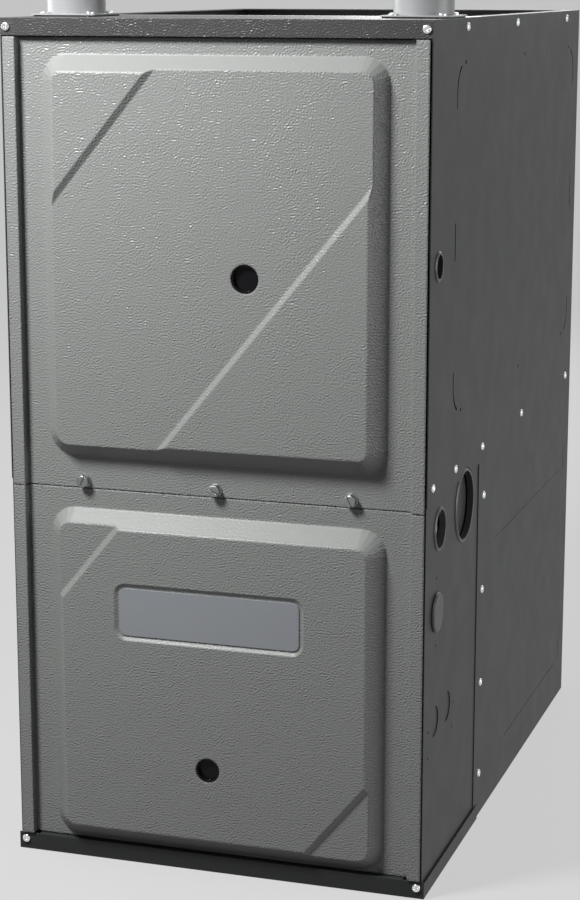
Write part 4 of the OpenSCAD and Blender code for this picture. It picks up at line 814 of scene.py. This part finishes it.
class FURNACE_OT_board_parts(FurnaceStep, bpy.types.Operator):
    """Make the plugs, capacitors, chips and terminal screws on the control board"""
    bl_idname = "furnace.board_parts"
    bl_label = "Board parts"

    board_t = 1.6 * MM
    set_back = 2.0 * MM
    # Low and high corner of a plug and of its latch, from the header in X and Y, in millimetres
    plug = ((-5.3, -6.0, 158.5), (5.3, 3.0, 171.5))
    latch = ((-1.6, -7.4, 156.5), (1.6, -5.4, 168.5))
    # Place in X and Z, radius and height, in millimetres
    capacitors = ((-60, 96, 6.3, 13), (-60, 76, 5.0, 11), (-42, 68, 4.0, 9), (-24, 146, 5.0, 12))
    # Place in X and Z, width and length, in millimetres
    chips = ((-48, 112, 16, 9), (-30, 128, 9, 9), (-62, 130, 8, 14))
    chip_h = 2.4
    screws = 5
    screw_x = -79
    screw_z = 67
    screw_step = 10.5
    screw_r = 3.4 * MM
    screw_h = 1.6 * MM
    screw_recess = (0.45 * MM, 2.2 * MM, 0.9 * MM)

    def make(self, scene):
        low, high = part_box("control_board")
        self.face = high[1] - self.board_t
        self.plugs(low)
        self.round_parts()
        bm = bmesh.new()
        for x, z, wide, tall in self.chips:
            corner = Vector(((x - wide / 2) * MM, self.face - self.chip_h * MM, (z - tall / 2) * MM))
            chamfered(bm, corner, corner + Vector((wide, self.chip_h, tall)) * MM, 0.4 * MM)
        epoxy = moulded("chip_epoxy", (0.012, 0.012, 0.013), 0.42)
        add_piece("board_chips", bm, epoxy)
        self.terminal_screws(low)

    def plugs(self, low):
        """One nylon plug over each header on the board's upper edge, with its latch."""
        bm = bmesh.new()
        for x in board_pins():
            header = Vector((x, low[1] + self.set_back, 0))
            for (near, far), cut in ((self.plug, 0.7), (self.latch, 0.4)):
                chamfered(bm, header + Vector(near) * MM, header + Vector(far) * MM, cut * MM)
        nylon = moulded("nylon", (0.70, 0.68, 0.62), 0.36, grain=1.2, depth=0.008)
        add_piece("board_plugs", bm, nylon)

    def round_parts(self):
        """Sleeved capacitors with a scored top."""
        bm = bmesh.new()
        for x, z, radius, tall in self.capacitors:
            spot = Matrix.Translation(Vector((x * MM, self.face, z * MM))) @ upright((0, -1, 0))
            r, h = radius * MM, tall * MM
            sleeve = [(r, 0), (r, 0.08 * h), (0.93 * r, 0.14 * h), (r, 0.20 * h), (r, 0.95 * h)]
            top = [(0.93 * r, h), (0.8 * r, h), (0.78 * r, 0.98 * h), (0, 0.98 * h)]
            lathe(bm, sleeve + top, spot, 24)
        sleeving = moulded("blue_sleeve", (0.015, 0.03, 0.10), 0.28)
        add_piece("board_capacitors", bm, sleeving)

    def terminal_screws(self, low):
        """The thermostat terminals' screws, down the board's left edge."""
        bm = bmesh.new()
        for k in range(self.screws):
            place = Vector((self.screw_x, 0, self.screw_z + self.screw_step * k)) * MM
            place[1] = low[1] + self.set_back
            spot = Matrix.Translation(place) @ upright((0, -1, 0), 0.5 * k)
            crown = pan_crown(self.screw_h, self.screw_recess)
            screw_head(bm, spot, lambda a: self.screw_r, crown, rings=8, sectors=32)
        brass = worked_metal(
            "nickel_brass", (0.72, 0.66, 0.48), 0.3, grain=0.6, depth=0.006, stain=0.05)
        add_piece("board_terminal_screws", bm, brass)


def board_pins():
    """The places in X of the headers on the board's upper edge."""
    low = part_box("control_board")[0]
    first, step = 26.5, 14
    return [low[0] + (first + step * k) * MM for k in range(6)]


class FURNACE_OT_wiring(FurnaceStep, bpy.types.Operator):
    """Run the wires from the control board to everything that it works"""
    bl_idname = "furnace.wiring"
    bl_label = "Wiring"

    # Where a wire leaves its plug, and how far three in a row stand apart
    plug_y = -285.0
    plug_z = 169
    plug_spread = 2.5
    spine = (-20, -300)
    trunk = ((-20, -290, 200), (*spine, 250), (*spine, 350), (*spine, 432), (*spine, 505),
             (-14, -297, 588))
    front = ((-4, -290, 640), (0, -288, 690))
    beside = ((60, -290, 600), (120, -264, 604), (137, -238, 630), (140, -230, 668))
    # Colour, board pin, points of the trunk that it follows, and its own way to the end, in millimetres
    wires = (
        ("red", 1, 6, ((30, -296, 600), (92, -304, 606), (110, -318, 630), (118, -318, 642))),
        ("blue", 2, 6, ((30, -298, 598), (92, -306, 602), (110, -322, 622), (118, -324, 634))),
        ("brown", 3, 6, (*beside, (148, -214, 684), (161, -198, 690))),
        ("purple", 3, 6, (*beside, (162, -220, 670), (182, -208, 680), (189, -198, 690))),
        ("yellow", 4, 6, (*front, (2, -250, 716), (4, -206, 728), (5, -190, 738), (5, -184, 741))),
        ("white", 4, 6, (*front, (-2, -250, 716), (-4, -206, 728), (-5, -190, 738), (-5, -184, 741))),
        ("red", 2, 6, (*front, (14, -250, 714), (25, -214, 716), (27, -202, 708), (27, -206, 696))),
        ("red", 1, 6, (*front, (-14, -250, 714), (-25, -214, 716), (-27, -202, 708), (-27, -206, 696))),
        ("black", 5, 6, (*front, (-50, -244, 716), (-86, -200, 732), (-95, -183, 724), (-97, -180, 706))),
        ("white", 5, 6, (*front, (-48, -240, 718), (-84, -196, 734), (-94, -179, 726), (-95, -180, 706))),
        ("orange", 5, 6, (*front, (50, -244, 714), (86, -204, 732), (95, -184, 726), (96, -180, 708))),
        ("black", 0, 5, ((-44, -318, 486), (-78, -328, 484), (-100, -322, 496), (-106, -314, 502))),
        ("orange", 0, 5, ((-44, -314, 480), (-78, -322, 478), (-98, -314, 492), (-103, -306, 502))),
        ("black", 3, 3, ((40, -292, 354), (88, -276, 362), (110, -276, 374), (114, -286, 375),
                         (114, -300, 375))),
        ("white", 4, 3, ((42, -288, 350), (94, -270, 360), (118, -272, 374), (122, -286, 375),
                         (122, -300, 375))),
        ("black", 0, 0, ((-76, -296, 204), (-104, -298, 240), (-134, -296, 258), (-154, -292, 262))),
        ("white", 1, 0, ((-74, -300, 208), (-104, -302, 246), (-134, -298, 266), (-154, -292, 270))),
        ("green", 2, 0, ((-72, -304, 204), (-104, -306, 236), (-134, -300, 252), (-154, -292, 254))),
        ("blue", 5, 0, ((16, -296, 210), (52, -292, 238), (92, -262, 250), (150, -190, 244),
                        (164, -40, 226), (158, 110, 190), (139, 138, 176))),
        ("red", 5, 0, ((18, -298, 206), (54, -294, 234), (94, -264, 246), (152, -190, 240),
                       (166, -40, 222), (160, 108, 186), (139, 138, 172))),
        ("yellow", 5, 0, ((14, -294, 214), (50, -290, 242), (90, -260, 254), (148, -190, 248),
                          (162, -40, 230), (156, 112, 194), (139, 138, 180))),
        ("white", 4, 0, ((56, -300, 196), (84, -306, 160), (108, -306, 132), (113, -292, 119))),
    )
    colours = {
        "red": (0.50, 0.02, 0.015), "blue": (0.02, 0.06, 0.38), "brown": (0.11, 0.045, 0.02),
        "purple": (0.16, 0.03, 0.30), "yellow": (0.68, 0.50, 0.03), "white": (0.72, 0.72, 0.70),
        "black": (0.012, 0.012, 0.012), "orange": (0.70, 0.20, 0.02), "green": (0.02, 0.24, 0.06)}
    # Height and inner radius of each tie, in millimetres
    ties = ((250, 6.6), (340, 6.6), (410, 6.6), (470, 6.6), (560, 6.2))
    tie_half = 1.8
    tie_t = 1.0
    # Low and high corner of a tie's head, from the trunk's middle
    tie_head = ((-2.5, -11.5, -2.4), (2.5, -6.5, 2.4))
    deck_z = 432.6
    # Radius and height of the grommet's outline, about the deck's middle, in millimetres
    grommet = ((8, -3), (12, -3), (12, -0.8), (10, -0.8), (10, 0.8), (12, 0.8), (12, 3), (8, 3), (8, -3))

    def make(self, scene):
        wiring = scene.furnace_wiring
        meshes = {colour: bmesh.new() for colour in self.colours}
        sleeves = bmesh.new()
        for k, (colour, pin, follows, way) in enumerate(self.wires):
            path = spline(self.strand(wiring, k, pin, follows, way))
            tube(meshes[colour], path, wiring.wire_radius)
            end = path[-1] + (path[-2] - path[-1]).normalized() * wiring.sleeve_length
            tube(sleeves, [path[-1], end], wiring.sleeve_radius, 12)
        for colour, bm in meshes.items():
            vinyl = moulded(colour + "_vinyl", self.colours[colour], 0.34, grain=1.5, depth=0.004)
            add_piece(colour + "_wires", bm, vinyl)
        nylon = moulded("sleeve_nylon", (0.66, 0.64, 0.58), 0.32)
        add_piece("wire_sleeves", sleeves, nylon)
        self.bands()

    def strand(self, wiring, k, pin, follows, way):
        """The points of one wire: out of its plug, along its place in the trunk, then its own way."""
        start = Vector((board_pins()[pin], (self.plug_y - k % 2) * MM, self.plug_z * MM))
        start[0] += (k % 3 - 1) * self.plug_spread * MM
        points = [start, start + Vector((0, -1, 10)) * MM]
        trunk = [Vector(p) * MM for p in self.trunk]
        radius, angle = wiring.bundle_step * math.sqrt(k + 0.3), 2.4 * k
        for here, side, up in frames_along(trunk)[:follows]:
            points.append(here + radius * (math.cos(angle) * side + math.sin(angle) * up))
        return points + [Vector(p) * MM for p in way]

    def bands(self):
        """Ties round the trunk and the grommet where it goes through the deck."""
        bm = bmesh.new()
        half = self.tie_half * MM
        for z, radius in self.ties:
            spot = Vector((*self.spine, z))
            ring(bm, Matrix.Translation(spot * MM), radius * MM, (radius + self.tie_t) * MM, -half, half)
            low, high = [(spot + Vector(corner)) * MM for corner in self.tie_head]
            chamfered(bm, low, high, 0.5 * MM)
        add_piece("cable_ties", bm, moulded("tie_nylon", (0.60, 0.58, 0.53), 0.4))
        bm = bmesh.new()
        deck = Matrix.Translation(Vector((*self.spine, self.deck_z)) * MM)
        lathe(bm, [(r * MM, z * MM) for r, z in self.grommet], deck, 32)
        rubber = moulded("grommet_rubber", (0.016, 0.016, 0.016), 0.6)
        add_piece("deck_grommet", bm, rubber)


class FURNACE_OT_clamps(FurnaceStep, bpy.types.Operator):
    """Make the steel band clamps round the flue coupling"""
    bl_idname = "furnace.clamps"
    bl_label = "Clamps"

    # Heights of the bands above the coupling's lower end
    band_z = (10 * MM, 34 * MM)
    band_half = 5 * MM
    band_t = 0.7 * MM
    # Width, depth and height of the screw's housing, and where it begins beside the coupling's front
    housing = Vector((16, 8, 12)) * MM
    housing_x = 8 * MM
    housing_y = -5 * MM
    screw_y = 3.5 * MM
    screw_r = 3.6 * MM
    screw_h = 3 * MM
    screw_recess = (0.6 * MM, 3.0 * MM, 1.2 * MM)

    def make(self, scene):
        low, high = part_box("flue_coupling")
        middle = (Vector(low) + Vector(high)) / 2
        radius = (high[0] - low[0]) / 2
        bm = bmesh.new()
        for z in (low[2] + up for up in self.band_z):
            spot = Matrix.Translation(Vector((middle[0], middle[1], z)))
            ring(bm, spot, radius, radius + self.band_t, -self.band_half, self.band_half, 48)
            corner = Vector((middle[0], middle[1] - radius, z))
            corner += Vector((self.housing_x, self.housing_y, -self.housing[2] / 2))
            chamfered(bm, corner, corner + self.housing, 1.2 * MM)
            seat = corner + Vector((self.housing[0], self.screw_y, self.housing[2] / 2))
            head = Matrix.Translation(seat) @ upright((1, 0, 0))
            crown = pan_crown(self.screw_h, self.screw_recess)
            screw_head(bm, head, lambda a: self.screw_r, crown, rings=8, sectors=32)
        steel = worked_metal(
            "clamp_steel", (0.66, 0.67, 0.67), 0.28, lines=(1, 1, 14), grain=0.6, depth=0.006,
            stain=0.05)
        add_piece("coupling_clamps", bm, steel)


class FURNACE_OT_drain(FurnaceStep, bpy.types.Operator):
    """Finish the condensate trap and its hoses"""
    bl_idname = "furnace.drain"
    bl_label = "Drain"

    def make(self, scene):
        dress("condensate_trap", moulded(
            "cloudy_plastic", (0.78, 0.79, 0.76), 0.35, grain=1.2, depth=0.01,
            transmission_weight=0.25))
        dress("drain_hoses", moulded("drain_rubber", (0.03, 0.03, 0.03), 0.5, grain=2.0, depth=0.03))


class FURNACE_OT_studio(FurnaceStep, bpy.types.Operator):
    """Make the pale floor, the soft lights and the camera"""
    bl_idname = "furnace.studio"
    bl_label = "Studio"

    aim = Vector((0.0, -0.2, 0.5))
    floor_radius = 14.0
    # The floor lies just under the base, so that the two don't share a plane
    floor_drop = 0.0005
    paper = (0.12, 0.12, 0.12, 1)
    sensor_width = 36.0

    def make(self, scene):
        studio = scene.furnace_studio
        scene.view_settings.view_transform = "Standard"
        self.floor(studio)
        self.world(scene, studio)
        self.lamp("key_light", (-0.58, -1.05, 1.55), 0.34, studio.key_power)
        self.lamp("right_light", (2.6, -0.2, 0.85), 1.6, studio.fill_power)
        self.lamp("left_light", (-2.6, 0.5, 0.85), 1.6, studio.fill_power)
        self.lamp("back_light", (0.0, 2.9, 1.9), 1.8, studio.back_power)
        self.camera(scene, studio)

    def floor(self, studio):
        """A wide disc that glows pale to the eye and in reflections, and keeps the shadow."""
        bm = bmesh.new()
        bmesh.ops.create_circle(bm, cap_ends=True, segments=64, radius=self.floor_radius)
        mesh = bpy.data.meshes.new("studio_floor")
        bm.to_mesh(mesh)
        bm.free()
        floor = put_in_scene("studio_floor", mesh)
        floor.location.z = -self.floor_drop
        material = bpy.data.materials.new("studio_paper")
        material.use_nodes = True
        tree = material.node_tree
        tree.nodes.clear()
        new, link = tree.nodes.new, tree.links.new
        path = new("ShaderNodeLightPath")
        paper = new("ShaderNodeBsdfDiffuse")
        paper.inputs["Color"].default_value = self.paper
        glow = new("ShaderNodeEmission")
        glow.inputs["Color"].default_value = (*studio.floor_colour, 1)
        link(self.seen(tree, path), glow.inputs["Strength"])
        both = new("ShaderNodeAddShader")
        output = new("ShaderNodeOutputMaterial")
        link(paper.outputs[0], both.inputs[0])
        link(glow.outputs[0], both.inputs[1])
        link(both.outputs[0], output.inputs[0])
        mesh.materials.append(material)

    def seen(self, tree, path):
        """1 for camera, glossy and transmission rays."""
        total = path.outputs["Is Camera Ray"]
        for ray in ("Is Glossy Ray", "Is Transmission Ray"):
            more = tree.nodes.new("ShaderNodeMath")
            more.operation = "MAXIMUM"
            tree.links.new(total, more.inputs[0])
            tree.links.new(path.outputs[ray], more.inputs[1])
            total = more.outputs[0]
        return total

    def world(self, scene, studio):
        """Pale to the eye and in reflections, and an even light otherwise."""
        world = bpy.data.worlds.new("studio_world")
        scene.world = world
        world.use_nodes = True
        tree = world.node_tree
        tree.nodes.clear()
        new, link = tree.nodes.new, tree.links.new
        path = new("ShaderNodeLightPath")
        even = new("ShaderNodeBackground")
        even.inputs["Strength"].default_value = studio.ambient
        pale = new("ShaderNodeBackground")
        pale.inputs["Color"].default_value = (*studio.floor_colour, 1)
        either = new("ShaderNodeMixShader")
        output = new("ShaderNodeOutputWorld")
        link(self.seen(tree, path), either.inputs[0])
        link(even.outputs[0], either.inputs[1])
        link(pale.outputs[0], either.inputs[2])
        link(either.outputs[0], output.inputs[0])

    def lamp(self, name, place, size, power):
        """A square area light aimed at the furnace's front."""
        data = bpy.data.lights.new(name, "AREA")
        data.size = size
        data.energy = power
        lamp = put_in_scene(name, data)
        lamp.location = place
        lamp.rotation_euler = (self.aim - Vector(place)).to_track_quat("-Z", "Y").to_euler()

    def camera(self, scene, studio):
        """The camera that was fitted to the casing's corners."""
        data = bpy.data.cameras.new("camera")
        data.lens = studio.lens
        data.sensor_width = self.sensor_width
        camera = put_in_scene("camera", data)
        camera.location = studio.camera_place
        camera.rotation_euler = (math.pi / 2 - studio.camera_tilt, 0.0, studio.camera_turn)
        scene.camera = camera


class FURNACE_PT_steps(bpy.types.Panel):
    """Lists the furnace's steps and settings"""
    bl_idname = "FURNACE_PT_steps"
    bl_label = "Furnace"
    bl_space_type = "VIEW_3D"
    bl_region_type = "UI"
    bl_category = "Furnace"

    def draw(self, context):
        column = self.layout.column()
        for step in STEPS:
            column.operator(step.bl_idname)
        for group, settings in GROUPS.items():
            column.label(text=settings.__name__)
            for name in settings.__annotations__:
                column.prop(getattr(context.scene, group), name)


GROUPS = {
    "furnace_paint": PaintSettings,
    "furnace_fixings": FixingSettings,
    "furnace_wiring": WiringSettings,
    "furnace_studio": StudioSettings,
}
STEPS = (
    FURNACE_OT_cabinet,
    FURNACE_OT_doors,
    FURNACE_OT_name_plate,
    FURNACE_OT_vents,
    FURNACE_OT_ports,
    FURNACE_OT_screws,
    FURNACE_OT_heat_exchanger,
    FURNACE_OT_gas_train,
    FURNACE_OT_inducer,
    FURNACE_OT_blower,
    FURNACE_OT_controls,
    FURNACE_OT_board_parts,
    FURNACE_OT_wiring,
    FURNACE_OT_clamps,
    FURNACE_OT_drain,
    FURNACE_OT_studio,
)


def register():
    for settings in GROUPS.values():
        bpy.utils.register_class(settings)
    for step in (*STEPS, FURNACE_PT_steps):
        bpy.utils.register_class(step)
    for group, settings in GROUPS.items():
        setattr(bpy.types.Scene, group, PointerProperty(type=settings))


def unregister():
    for group in GROUPS:
        delattr(bpy.types.Scene, group)
    for step in (FURNACE_PT_steps, *reversed(STEPS)):
        bpy.utils.unregister_class(step)
    for settings in GROUPS.values():
        bpy.utils.unregister_class(settings)


def main():
    """Runs every step in order."""
    register()
    for step in STEPS:
        group, name = step.bl_idname.split(".")
        getattr(getattr(bpy.ops, group), name)()


if __name__ == "__main__":
    main()
